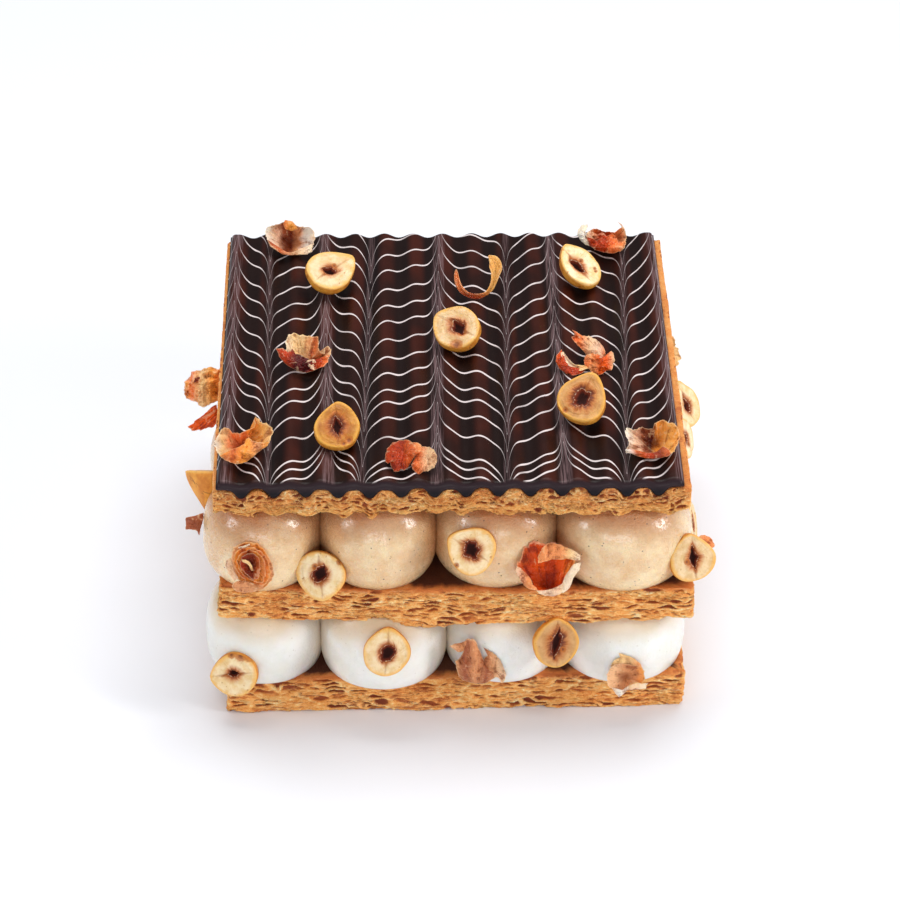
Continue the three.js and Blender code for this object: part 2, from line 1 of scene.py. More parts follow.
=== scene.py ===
"""Looks of a square mille-feuille: three sheets of flaky pastry, two layers of piped cream, a
corrugated chocolate glaze feathered with icing, split hazelnuts and curls of their skin.

Shapes are worked out in millimetres and written to the meshes in metres, in the frame's own axes:
X to the right, Y to the back, Z up."""
import math

import bpy
import numpy as np
from mathutils import Matrix, Vector


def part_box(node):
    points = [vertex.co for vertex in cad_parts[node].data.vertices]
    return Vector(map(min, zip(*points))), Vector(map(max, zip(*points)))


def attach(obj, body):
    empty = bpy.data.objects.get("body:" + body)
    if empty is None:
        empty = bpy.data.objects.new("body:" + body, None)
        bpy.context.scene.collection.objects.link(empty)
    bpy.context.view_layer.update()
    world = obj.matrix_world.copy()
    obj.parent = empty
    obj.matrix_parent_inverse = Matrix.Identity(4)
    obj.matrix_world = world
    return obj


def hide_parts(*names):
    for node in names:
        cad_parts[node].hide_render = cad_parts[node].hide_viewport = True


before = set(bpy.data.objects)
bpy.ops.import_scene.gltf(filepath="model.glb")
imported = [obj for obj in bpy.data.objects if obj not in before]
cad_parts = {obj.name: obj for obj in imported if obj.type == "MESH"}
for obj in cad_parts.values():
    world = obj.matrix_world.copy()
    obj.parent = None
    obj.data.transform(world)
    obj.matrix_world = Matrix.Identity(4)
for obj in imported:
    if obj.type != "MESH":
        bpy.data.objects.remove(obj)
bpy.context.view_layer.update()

MM = 0.001

# Heights of the stack, and the wave of the top sheet and its glaze, as the solids have them
BASE_TOP = 11.6
MIDDLE_UNDERSIDE = 33.1
MIDDLE_TOP = 43.5
TOP_SHEET_UNDERSIDE = 68.3
TOP_SHEET_TOP = 74.75
GLAZE_TOP = 78.6
WAVE_PITCH = 8.7
OUTERMOST_LINE = 60.9
SHEET_WAVE = 1.4
UNDERSIDE_WAVE = 0.9
GLAZE_WAVE = 0.7
TOP_SHIFT = -1.6
GLAZE_WIDTH = 126.3
GLAZE_DEPTH = 129.4
GLAZE_FRONT = -65.0

# The camera: a long lens that looks down on the front of the cake
PICTURE_SIDE = 900
FOCAL_PIXELS = 3572
SENSOR_WIDTH = 36.0
CAMERA_RISE = 34.71
CAMERA_YAW = -1.21
CAMERA_ROLL = 0.28
CAMERA_TARGET = (0.0, 0.0, 40.0)
CAMERA_SLIDE = (-0.35, 3.58)
CAMERA_DISTANCE = 1040.87


def colour(text):
    """A colour written as six hexadecimal digits, as linear red, green, blue and alpha: a channel c
    above 0.04 becomes ((c + 0.055) / 1.055) to the power 2.4."""
    channels = [int(text[i:i + 2], 16) / 255 for i in (0, 2, 4)]
    return (*[c / 12.92 if c <= 0.04045 else ((c + 0.055) / 1.055) ** 2.4 for c in channels], 1.0)


# Shader maths

class Wire:
    """A socket that Python's operators can combine: each operator adds one Math node."""

    def __init__(self, finish, socket):
        self.finish = finish
        self.socket = socket

    def __add__(self, other):
        return self.finish.math("ADD", self, other)

    def __radd__(self, other):
        return self.finish.math("ADD", other, self)

    def __sub__(self, other):
        return self.finish.math("SUBTRACT", self, other)

    def __rsub__(self, other):
        return self.finish.math("SUBTRACT", other, self)

    def __mul__(self, other):
        return self.finish.math("MULTIPLY", self, other)

    def __rmul__(self, other):
        return self.finish.math("MULTIPLY", other, self)

    def __truediv__(self, other):
        return self.finish.math("DIVIDE", self, other)

    def __rtruediv__(self, other):
        return self.finish.math("DIVIDE", other, self)

    def __abs__(self):
        return self.finish.math("ABSOLUTE", self)


class Finish:
    """A material whose node tree is written as expressions."""

    def __init__(self, name):
        self.material = bpy.data.materials.new(name)
        self.material.use_nodes = True
        self.tree = self.material.node_tree
        self.tree.nodes.clear()

    def node(self, kind, settings=None, inputs=None, output=0):
        """Adds a node: its settings first, a ramp's stops among them, then its sockets' values or
        links. Gives one of its outputs."""
        made = self.tree.nodes.new(kind)
        for name, value in (settings or {}).items():
            if name == "stops":
                elements = made.color_ramp.elements
                elements[0].position, elements[0].color = value[0]
                elements[1].position, elements[1].color = value[-1]
                for position, tint in value[1:-1]:
                    elements.new(position).color = tint
            else:
                setattr(made, name, value)
        for name, value in (inputs or {}).items():
            socket = made.inputs[name]
            if isinstance(value, Wire):
                self.tree.links.new(value.socket, socket)
            else:
                socket.default_value = value
        return Wire(self, made.outputs[output])

    def math(self, operation, *values):
        return self.node("ShaderNodeMath", {"operation": operation}, dict(enumerate(values)))

    def sine(self, value):
        return self.math("SINE", value)

    def least(self, a, b):
        return self.math("MINIMUM", a, b)

    def most(self, a, b):
        return self.math("MAXIMUM", a, b)

    def step(self, value, low, high):
        """0 at low, 1 at high and a smooth step between; low may be the larger."""
        settings = {"interpolation_type": "SMOOTHSTEP"}
        return self.node("ShaderNodeMapRange", settings, {0: value, 1: low, 2: high})

    def blend(self, share, a, b):
        """The colour a where share is 0 and b where it is 1; a text is a colour in hexadecimal."""
        a, b = (colour(tint) if isinstance(tint, str) else tint for tint in (a, b))
        return self.node(
            "ShaderNodeMix", {"data_type": "RGBA"}, {0: share, 6: a, 7: b}, output=2)

    def layered(self, base, *layers):
        """A colour with others laid over it in turn, each given as its share and its colour."""
        for share, tint in layers:
            base = self.blend(share, base, tint)
        return base

    def ramp(self, value, *stops):
        """Colours in hexadecimal, each at its place along the value."""
        stops = [(position, colour(text)) for position, text in stops]
        return self.node("ShaderNodeValToRGB", {"stops": stops}, {0: value})

    def scaled(self, vector, scale):
        """A vector with each axis multiplied by its own number."""
        settings = {"operation": "MULTIPLY"}
        return self.node("ShaderNodeVectorMath", settings, {0: vector, 1: scale})

    def place(self):
        """Object coordinates in millimetres."""
        object_place = self.node("ShaderNodeTexCoord", output=3)
        return self.scaled(object_place, (1 / MM, 1 / MM, 1 / MM))

    def parts(self, vector):
        split = self.node("ShaderNodeSeparateXYZ", None, {0: vector}).socket.node
        return [Wire(self, socket) for socket in split.outputs]

    def joined(self, x, y, z):
        return self.node("ShaderNodeCombineXYZ", None, {0: x, 1: y, 2: z})

    def noise(self, vector, scale, detail, roughness):
        """Noise from 0 to 1 with about `scale` bumps in a millimetre."""
        inputs = {"Vector": vector, "Scale": scale, "Detail": detail, "Roughness": roughness}
        return self.node("ShaderNodeTexNoise", None, inputs)

    def attribute(self, name, output=2):
        """An attribute of the piece: output 2 is a number and 1 a colour."""
        return self.node("ShaderNodeAttribute", {"attribute_name": name}, None, output)

    def bump(self, height, distance, strength, normal=None):
        """A bumped normal; height is in millimetres times distance."""
        inputs = {"Height": height, "Distance": distance * MM, "Strength": strength}
        if normal is not None:
            inputs["Normal"] = normal
        return self.node("ShaderNodeBump", None, inputs)

    def surface(self, base, roughness, normal=None, **constants):
        """Ends the tree with a Principled shader. The constants are set on its own sockets."""
        inputs = {"Base Color": base, "Roughness": roughness}
        if normal is not None:
            inputs["Normal"] = normal
        for name, value in constants.items():
            inputs[name.replace("_", " ").title().replace("Ior", "IOR")] = value
        shader = self.node("ShaderNodeBsdfPrincipled", None, inputs)
        end = self.tree.nodes.new("ShaderNodeOutputMaterial")
        self.tree.links.new(shader.socket, end.inputs["Surface"])
        return self.material


# Shapes

def smooth_step(value):
    value = np.clip(value, 0.0, 1.0)
    return value * value * (3 - 2 * value)


def noise(seed, x, y, cell_x, cell_y, round_x=None):
    """Value noise from -1 to 1: random heights at the corners of cells of cell_x by cell_y, blended
    by a smooth step. With round_x it repeats along x after that length."""
    if round_x:
        cells = max(1, round(round_x / cell_x))
        cell_x = round_x / cells
    fx, fy = x / cell_x, y / cell_y
    ix, iy = np.floor(fx).astype(int), np.floor(fy).astype(int)
    low_x, low_y = 0 if round_x else ix.min(), iy.min()
    if not round_x:
        cells = ix.max() - low_x + 2
    heights = np.random.default_rng(seed).uniform(-1, 1, (cells, iy.max() - low_y + 2))
    near_x, far_x = (ix - low_x) % cells, (ix - low_x + 1) % cells
    near_y, far_y = iy - low_y, iy - low_y + 1
    share_x, share_y = smooth_step(fx - ix), smooth_step(fy - iy)
    near = heights[near_x, near_y] * (1 - share_x) + heights[far_x, near_y] * share_x
    far = heights[near_x, far_y] * (1 - share_x) + heights[far_x, far_y] * share_x
    return near * (1 - share_y) + far * share_y


def rough_noise(seed, x, y, cell_x, cell_y, octaves, round_x=None):
    """A sum of noises, each with cells half the size of the last and half its height."""
    total = 0.0
    for octave in range(octaves):
        shrink = 2.0 ** octave
        total = total + noise(seed + octave, x, y, cell_x / shrink, cell_y / shrink, round_x) / shrink
    return total


def round_noise(seed, angle, cell):
    """Noise round a full turn, with cells of about so many radians."""
    return noise(seed, angle, 0 * angle, cell, 1, 2 * math.pi)


def wave(x):
    """1 on a crest of the corrugation and -1 in a trough, level past the outermost lines. x is
    measured from the middle of the glaze."""
    return np.cos(2 * np.pi * np.clip(x, -OUTERMOST_LINE, OUTERMOST_LINE) / WAVE_PITCH)


def broad_wave(x):
    """1 on broad crests and -1 in narrow round troughs: a dip of exp(-(d / 2) to the 2.6) at a
    distance d from each trough, level past the outermost lines."""
    x = np.clip(x, -OUTERMOST_LINE, OUTERMOST_LINE)
    away = np.abs((x + WAVE_PITCH) % WAVE_PITCH - WAVE_PITCH / 2)
    return 1 - 2 * np.exp(-(away / 2.0) ** 2.6)


def grid_faces(rows, columns, first=0, wrapped=False):
    """Quads between neighbours in a grid that is numbered row by row; wrapped joins its last column
    to its first. Seen from outside, columns run to the right and rows go up."""
    across = np.arange(columns if wrapped else columns - 1)
    right = (across + 1) % columns
    row = np.arange(rows - 1)[:, None] * columns + first
    return np.stack(
        [row + across, row + right, row + columns + right, row + columns + across], -1
    ).reshape(-1, 4)


def fan_faces(ring, centre):
    """Triangles from each pair of neighbours in a closed ring to a centre, anticlockwise as the
    ring runs."""
    return np.stack([ring, np.roll(ring, -1), np.full(len(ring), centre)], -1)


def joined_parts(parts):
    """Several closed meshes as one: points, faces and attributes put end to end."""
    starts = np.concatenate([[0], np.cumsum([len(points) for points, _, _ in parts])])
    points = np.concatenate([points for points, _, _ in parts])
    faces = [block + start for (_, blocks, _), start in zip(parts, starts) for block in blocks]
    attributes = {
        key: np.concatenate([values[key] for _, _, values in parts]) for key in parts[0][2]}
    return points, faces, attributes


def make_piece(name, material, points, faces, attributes=None):
    """A smooth mesh from points in millimetres and blocks of faces; attributes are one number or
    three a point."""
    mesh = bpy.data.meshes.new(name)
    corners = np.concatenate([block.ravel() for block in faces]).astype(np.int32)
    sizes = np.concatenate([np.full(len(block), block.shape[1]) for block in faces])
    starts = np.concatenate([[0], np.cumsum(sizes)[:-1]]).astype(np.int32)
    mesh.vertices.add(len(points))
    mesh.vertices.foreach_set("co", (np.asarray(points) * MM).astype(np.float32).ravel())
    mesh.loops.add(len(corners))
    mesh.loops.foreach_set("vertex_index", corners)
    mesh.polygons.add(len(starts))
    mesh.polygons.foreach_set("loop_start", starts)
    mesh.polygons.foreach_set("use_smooth", np.full(len(starts), True))
    mesh.update(calc_edges=True)
    for attribute, values in (attributes or {}).items():
        vector = np.ndim(values) == 2
        data = mesh.attributes.new(attribute, "FLOAT_VECTOR" if vector else "FLOAT", "POINT").data
        data.foreach_set("vector" if vector else "value", np.asarray(values, np.float32).ravel())
    mesh.materials.append(material)
    piece = bpy.data.objects.new(name, mesh)
    bpy.context.scene.collection.objects.link(piece)
    return piece


def settle(piece, slot, *nodes):
    """The piece rides on the cake and stands for its solids. Its slot is not used."""
    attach(piece, "root")
    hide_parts(*nodes)


def node_centre(node):
    low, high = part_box(node)
    return (np.array(low) + np.array(high)) / 2 / MM


def centred_on(points, node):
    """The points, moved so that the middle of their box is the middle of the node's box."""
    middle = (points.min(0) + points.max(0)) / 2
    return points - middle + node_centre(node)


# Pastry

CORNER_RADIUS = 1.2
CORNER_POINTS = 4
# The rings of a sheet's top and underside, as shares of the way from its middle to its edge
COVER_RINGS = np.array([0.9935, 0.984, 0.968, 0.94, 0.9, 0.82, 0.65, 0.4])
# An underside lower than this lies on the table, and stays smooth
TABLE = 0.01


def sheet_outline(half_x, half_y, radius, step):
    """Points round a rectangle with round corners, anticlockwise from its front left: a straight
    stretch, then a quarter arc, four times. Gives the points, the directions outwards, the way
    walked to each and the whole way round."""
    points, outwards = [], []
    arc = np.linspace(0, math.pi / 2, CORNER_POINTS + 2)[1:-1]
    for quarter in range(4):
        along, away = (half_x, half_y) if quarter % 2 == 0 else (half_y, half_x)
        straight = np.linspace(-along + radius, along - radius, max(2, round(2 * along / step)))
        x = np.concatenate([straight, along - radius + radius * np.sin(arc)])
        y = np.concatenate([np.full(len(straight), -away), -away + radius - radius * np.cos(arc)])
        nx = np.concatenate([np.zeros(len(straight)), np.sin(arc)])
        ny = np.concatenate([np.full(len(straight), -1.0), -np.cos(arc)])
        turn = quarter * math.pi / 2
        cos, sin = math.cos(turn), math.sin(turn)
        points.append(np.stack([x * cos - y * sin, x * sin + y * cos], -1))
        outwards.append(np.stack([nx * cos - ny * sin, nx * sin + ny * cos], -1))
    points, outwards = np.concatenate(points), np.concatenate(outwards)
    steps = np.linalg.norm(np.roll(points, -1, 0) - points, axis=1)
    walked = np.concatenate([[0], np.cumsum(steps)[:-1]])
    return points, outwards, walked, steps.sum()


def flat_cells(seed, s, z, long, high, around):
    """Cells like those between torn leaves: each place belongs to the nearest of a set of scattered
    middles, one in every long by high box. Gives how far it is from the wall to the next cell, from
    0 at the wall to about 1, and a number from 0 to 1 that the whole cell shares."""
    count = max(3, round(around / long))
    u, v = s / around * count, z / high
    column, row = np.floor(u).astype(int), np.floor(v).astype(int)
    low_row = row.min() - 1
    draw = np.random.default_rng(seed)
    shape = (count, row.max() - low_row + 2)
    middle_u, middle_v, shared = (draw.uniform(0.08, 0.92, shape) for _ in range(3))
    nearest, second = np.full(s.shape, 9.0), np.full(s.shape, 9.0)
    owner = np.zeros_like(s)
    for step_u in (-1, 0, 1):
        for step_v in (-1, 0, 1):
            i, j = (column + step_u) % count, row + step_v - low_row
            away = np.hypot(column + step_u + middle_u[i, j] - u, row + step_v + middle_v[i, j] - v)
            closer = away < nearest
            second = np.where(closer, nearest, np.minimum(second, away))
            owner = np.where(closer, shared[i, j], owner)
            nearest = np.where(closer, away, nearest)
    return second - nearest, owner


def pastry_relief(seed, s, level, cell, around):
    """The relief of a sheet's side, a way s round it and a level up it: the hollows of its deeper
    cells and of some small ones, the strands between them, thin leaves (noise stretched along the
    side), fine crumbs and a slow unevenness. The cells and leaves are bent by slow noises."""
    long, high = cell

    def bumps(offset, way, up, length, height):
        return noise(seed + offset, way, up, length, height, around)

    warp = 1.1 * bumps(0, s, level, 12, 5) + 0.55 * bumps(1, s, level, 3.6, 2.4)
    bent = level + warp + 0.22 * bumps(6, s, level, 1.3, 1.0)
    slid = s + bumps(4, s, level, 2.6, 0.9)
    leaves = bumps(2, s, bent, 5, 0.62) + 0.6 * bumps(3, s, bent, 2.2, 0.34)
    crumbs = rough_noise(seed + 5, s, bent, 0.9, 0.4, 2, around)
    wall, owner = flat_cells(seed + 9, slid, bent, long, high, around)
    small_wall, small_owner = flat_cells(seed + 10, slid, bent, 0.42 * long, 0.55 * high, around)
    wall, small_wall = wall + 0.09 * crumbs, small_wall + 0.1 * crumbs
    crowd = 0.5 * bumps(8, s, level, 7, 2.5)
    deep = smooth_step((wall - 0.06) / 0.42) * smooth_step((owner + crowd - 0.42) / 0.42)
    small = smooth_step((small_wall - 0.04) / 0.4) * smooth_step((small_owner - crowd - 0.35) / 0.5)
    hollows = np.maximum(deep, 0.5 * small)
    strands = np.maximum(1 - smooth_step(wall / 0.2), 0.6 * (1 - smooth_step(small_wall / 0.24)))
    slow = 0.5 * bumps(20, s, level, 14, 8) + 0.3 * bumps(21, s, level, 4, 2.4)
    return hollows, strands, leaves, crumbs, slow


def pastry_cover(seed, edge, middle, walked, half_x, height_at, bump_height):
    """The top or underside of a sheet: rings that shrink from its edge to its middle point, which
    comes last, with bumps that fade in from the edge. Gives the points, the bumps and how far
    inwards each point lies."""
    shares = COVER_RINGS[:, None]
    rings = middle + (edge[None, :, :2] - middle) * shares[..., None]
    ring_s = np.broadcast_to(walked, rings.shape[:2])
    inwards = (1 - shares) * half_x + 0 * ring_s
    rise = height_at(rings)
    bumps = bump_height * rough_noise(seed + 30, ring_s * shares, inwards, 3.0, 2.2, 2)
    z = rise + bumps * smooth_step(inwards / 1.5)
    points = np.concatenate([rings, z[..., None]], -1).reshape(-1, 3)
    points = np.vstack([points, [*middle, np.mean(rise[-1])]])
    return points, np.append(2 * bumps, 0), np.append(inwards, half_x)


def pastry_sheet(name, node, material, seed, size, underside, top, turn, shift, cell, rows, step,
                 bulge=0.0, side_roughness=1.0, crust=1.0):
    """A sheet of baked puff pastry. Its side is a grid round the sheet and up it: a place lies on
    the round-cornered outline, moved outwards by the slow unevenness, leaves, crumbs and strands,
    and inwards by the hollows. bulge bows its front out, side_roughness calms its left and right,
    and crust says how far its top is browned and how much painted shade it takes under the cream."""
    half_x, half_y, offset_x = size
    outline, outwards, walked, around = sheet_outline(half_x, half_y, CORNER_RADIUS, step)
    outline = outline + [offset_x, 0]
    count = len(walked)
    t = np.linspace(0, 1, rows)[:, None]
    s = np.broadcast_to(walked, (rows, count))
    low, high = underside(outline), top(outline)
    on_table = low.max() < TABLE
    z = low + (high - low) * t
    level = 0.35 * (high - low) * t + 0.65 * (z - low.mean())
    hollows, strands, leaves, crumbs, slow = pastry_relief(seed, s, level, cell, around)
    bow = bulge * (1 - (outline[:, 0] / half_x) ** 2) * (outline[:, 1] < -half_y + 2)
    from_edge = np.minimum(t, 1 - t) * float(np.mean(high - low))
    tuck = 0.35 * (1 - smooth_step(from_edge / 0.5))
    out = slow + bow + 0.12 * leaves + 0.2 * crumbs + 0.3 * strands - 1.15 * hollows - tuck - 0.1
    rough = 1 - (1 - side_roughness) * outwards[:, 0] ** 2
    side = outline + (out * rough)[..., None] * outwards
    if not on_table:
        z = z + (0.22 * crumbs + 0.18 * leaves) * smooth_step(1 - from_edge / 0.8)
    z = np.maximum(z, 0.0)
    points = [np.concatenate([side, z[..., None]], -1).reshape(-1, 3)]
    values = [
        (hollows.ravel(), (strands + 0.2 * leaves).ravel(), np.repeat(t, count), np.zeros(s.size))]
    faces = [grid_faces(rows, count, 0, True)]
    middle = np.array([offset_x, 0.0])
    ring = np.arange(count)
    ahead = (ring + 1) % count
    for facing_up in (True, False):
        edge = (rows - 1) * count if facing_up else 0
        bump_height = (0.28 if facing_up or not on_table else 0.0) * rough
        cover, bumps, inwards = pastry_cover(
            seed, points[0][edge:edge + count], middle, walked, half_x, top if facing_up else underside,
            bump_height)
        first = sum(len(part) for part in points)
        last = first + len(cover) - 1
        points.append(cover)
        values.append((np.zeros(len(cover)), bumps, np.full(len(cover), float(facing_up)), inwards))
        blocks = [
            np.stack([edge + ring, edge + ahead, first + ahead, first + ring], -1),
            grid_faces(len(COVER_RINGS), count, first, True),
            fan_faces(last - count + ring, last),
        ]
        faces += blocks if facing_up else [block[:, ::-1] for block in blocks]
    points = np.concatenate(points)
    cos, sin = math.cos(math.radians(turn)), math.sin(math.radians(turn))
    x = points[:, 0] * cos - points[:, 1] * sin + shift
    y = points[:, 0] * sin + points[:, 1] * cos
    points = np.stack([x, y, points[:, 2]], -1)
    names = ("hollow", "leaf", "rise", "inwards")
    attributes = {key: np.concatenate(parts) for key, parts in zip(names, zip(*values))}
    attributes["crust"] = np.full(len(points), crust)
    settle(make_piece(name, material, points, faces, attributes), "pastry", node)


def pastry_finish():
    """Golden brown leaves. The hollows between them are darkened as painted shade and the proud
    leaves and strands are paler as a painted highlight, slow noises stretched along the leaves bake
    some of them redder, the top of a sheet is browned, and painted shade darkens it under the cream."""
    finish = Finish("baked_pastry")
    place = finish.place()
    along = finish.scaled(place, (1, 1, 3.5))
    rise = finish.attribute("rise")
    crust = finish.attribute("crust")
    slow = finish.noise(along, 0.09, 3, 0.6)
    fine = finish.noise(along, 0.55, 3, 0.6)
    crumb = finish.noise(place, 2.6, 2, 0.6)
    layer = finish.noise(finish.scaled(place, (0.13, 0.13, 1.1)), 1.0, 4, 0.7)
    tone = 0.42 + 0.55 * (fine - 0.5) + 0.9 * (slow - 0.5)
    # Painted highlight: the proud strands and leaves are made paler, over the pastry's random tone.
    tone = tone + 0.3 * finish.attribute("leaf") + 0.8 * (crumb - 0.5)
    baked = finish.ramp(
        tone, (0.0, "b4541f"), (0.25, "e08840"), (0.45, "f6a856"), (0.65, "fec072"), (0.85, "ffde9e"),
        (1.0, "fff0c8"))
    golden = finish.step(rise + 0.5 * (slow - 0.5), 0.55, 0.15) * (1 - crust)
    # Painted shade: the hollows darken towards a deep brown, as the pastry's recesses are shaded.
    depth = finish.step(finish.attribute("hollow") + 0.7 * (crumb - 0.5), 0.2, 0.66)
    hole = finish.blend(finish.step(slow, 0.4, 0.6), "b05c2e", "8e4226")
    browned = finish.step(rise, 0.9, 1.0) * (0.45 + 0.9 * finish.noise(place, 0.2, 3, 0.6)) * crust
    # Painted shade: the top of the base and middle sheets turns dark brown inwards from its edge, where
    # the cream balls shade it.
    painted_shade_under_cream = finish.step(finish.attribute("inwards") + 3.0 * (layer - 0.5), 0.4, 3.4) * crust
    base = finish.layered(
        baked,
        ((1 - crust) * 0.3, "a05a2c"),
        (finish.step(layer, 0.53, 0.66) * 0.75, "b0562a"),
        (finish.step(layer, 0.42, 0.28) * 0.5, "fbd093"),
        (golden * 0.4, "ffc46a"),
        (depth, hole),
        (finish.least(browned, 1.0) * 0.85, "dc7c3c"),
        (painted_shade_under_cream * 0.95, "42190e"))
    normal = finish.bump(crumb + 0.6 * finish.noise(along, 1.6, 2, 0.6), 0.4, 0.8)
    return finish.surface(
        base, 0.72 - 0.1 * fine, normal, subsurface_weight=0.12,
        subsurface_radius=(1.0, 0.45, 0.2), subsurface_scale=0.0012, specular_ior_level=0.35)


# Glaze

COMBS = (
    # place at the back, place at the front, and 1 where the icing is drawn to the back
    (-61.3, -60.8, 1), (-51.5, -49.3, -1), (-35.5, -32.9, 1), (-21.1, -23.9, -1), (-1.2, -3.6, 1),
    (19.0, 15.4, -1), (31.9, 31.4, 1), (53.8, 47.9, -1), (62.6, 62.9, 1),
)
# Where the lines of icing were laid before they were combed, from the front to the back
ICING_LINES = (
    -62.6, -58.2, -54.4, -43.0, -33.6, -25.5, -19.4, -10.8, -2.6, 6.8, 16.6, 25.2, 34.2, 44.6, 53.4, 62.6)
# How far a comb draws the icing, and how far to its sides that reaches
COMB_PULL = 5.6
COMB_REACH = 5.3
# Cells of the glaze across, from the front to the back and up
GLAZE_CELLS = (308, 110, 8)
# Radii of its edges, and how far its faces bulge between them
FRONT_ROUND = 0.8
BACK_ROUND = 0.9
SIDE_ROUND = 1.3
EDGE_BULGE = 0.3


def box_shell(nx, ny, nz):
    """The outside of a lattice of nx by ny by nz cells: the lattice places from 0 to 1, and quads
    that face outwards. Places on two sides are shared."""
    places, quads, count = [], [], 0
    cells = (nx, ny, nz)
    for axis in range(3):
        first, second = (axis + 1) % 3, (axis + 2) % 3
        for end in (0, 1):
            a, b = np.meshgrid(np.arange(cells[first] + 1), np.arange(cells[second] + 1))
            side = np.zeros((a.size, 3), int)
            side[:, first], side[:, second], side[:, axis] = a.ravel(), b.ravel(), end * cells[axis]
            block = grid_faces(cells[second] + 1, cells[first] + 1, count)
            quads.append(block if end else block[:, ::-1])
            places.append(side)
            count += len(side)
    places, numbers = np.unique(np.concatenate(places), axis=0, return_inverse=True)
    return places / np.array(cells), numbers.ravel()[np.concatenate(quads)]


def glaze_piece(material):
    """A lattice's shell bent to the glaze: its underside follows the sheet's wave and fills the
    troughs, its top has a shallower wave, and near the front, back and sides both faces round off
    on a quarter circle."""
    lattice, quads = box_shell(*GLAZE_CELLS)
    u, v, w = lattice.T
    x = (u - 0.5) * GLAZE_WIDTH
    near_ends = np.sin((v - 0.5) * math.pi)
    y = GLAZE_FRONT + GLAZE_DEPTH * (0.5 + 0.5 * (0.35 * near_ends + 0.65 * (2 * v - 1)))
    uneven = 0.10 * noise(4, x, y, 19, 23) + 0.05 * noise(5, x, y, 6, 9)
    level_edge = 0.7 + 0.3 * smooth_step((y - GLAZE_FRONT) / 5)
    top = GLAZE_TOP + GLAZE_WAVE * level_edge * wave(x) + uneven
    drip = 0.35 * noise(6, x, 0 * x, WAVE_PITCH, 10) + 0.2 * noise(7, x, 0 * x, 3.1, 10)
    bottom = TOP_SHEET_TOP + SHEET_WAVE * broad_wave(x) + 0.12
    bottom = bottom + drip * smooth_step((GLAZE_FRONT + 2 - y) / 2)
    left, right = x + GLAZE_WIDTH / 2, GLAZE_WIDTH / 2 - x
    front, back = y - GLAZE_FRONT, GLAZE_FRONT + GLAZE_DEPTH - y

    def rounding(distance, radius):
        """How far a quarter circle has fallen at a distance from the edge."""
        inside = np.clip(1 - distance / radius, 0, 1)
        return radius * (1 - np.sqrt(1 - inside * inside))

    fall = rounding(front, FRONT_ROUND) + rounding(back, BACK_ROUND)
    fall = fall + rounding(left, SIDE_ROUND) + rounding(right, SIDE_ROUND)
    lift = 0.5 * rounding(front, 0.7)
    z = bottom + (top - bottom) * w
    z = z - fall * smooth_step((w - 0.4) / 0.6) + lift * smooth_step((0.5 - w) / 0.5)
    bulge = EDGE_BULGE * (1 - (2 * w - 1) ** 2)
    y = y - bulge * (front < 1e-6) + bulge * (back < 1e-6)
    x = x - bulge * (left < 1e-6) + bulge * (right < 1e-6)
    points = np.stack([x + TOP_SHIFT, y, z], -1)
    piece = make_piece("feathered_glaze", material, points, [quads])
    settle(piece, "chocolate_glaze", "chocolate_glaze")


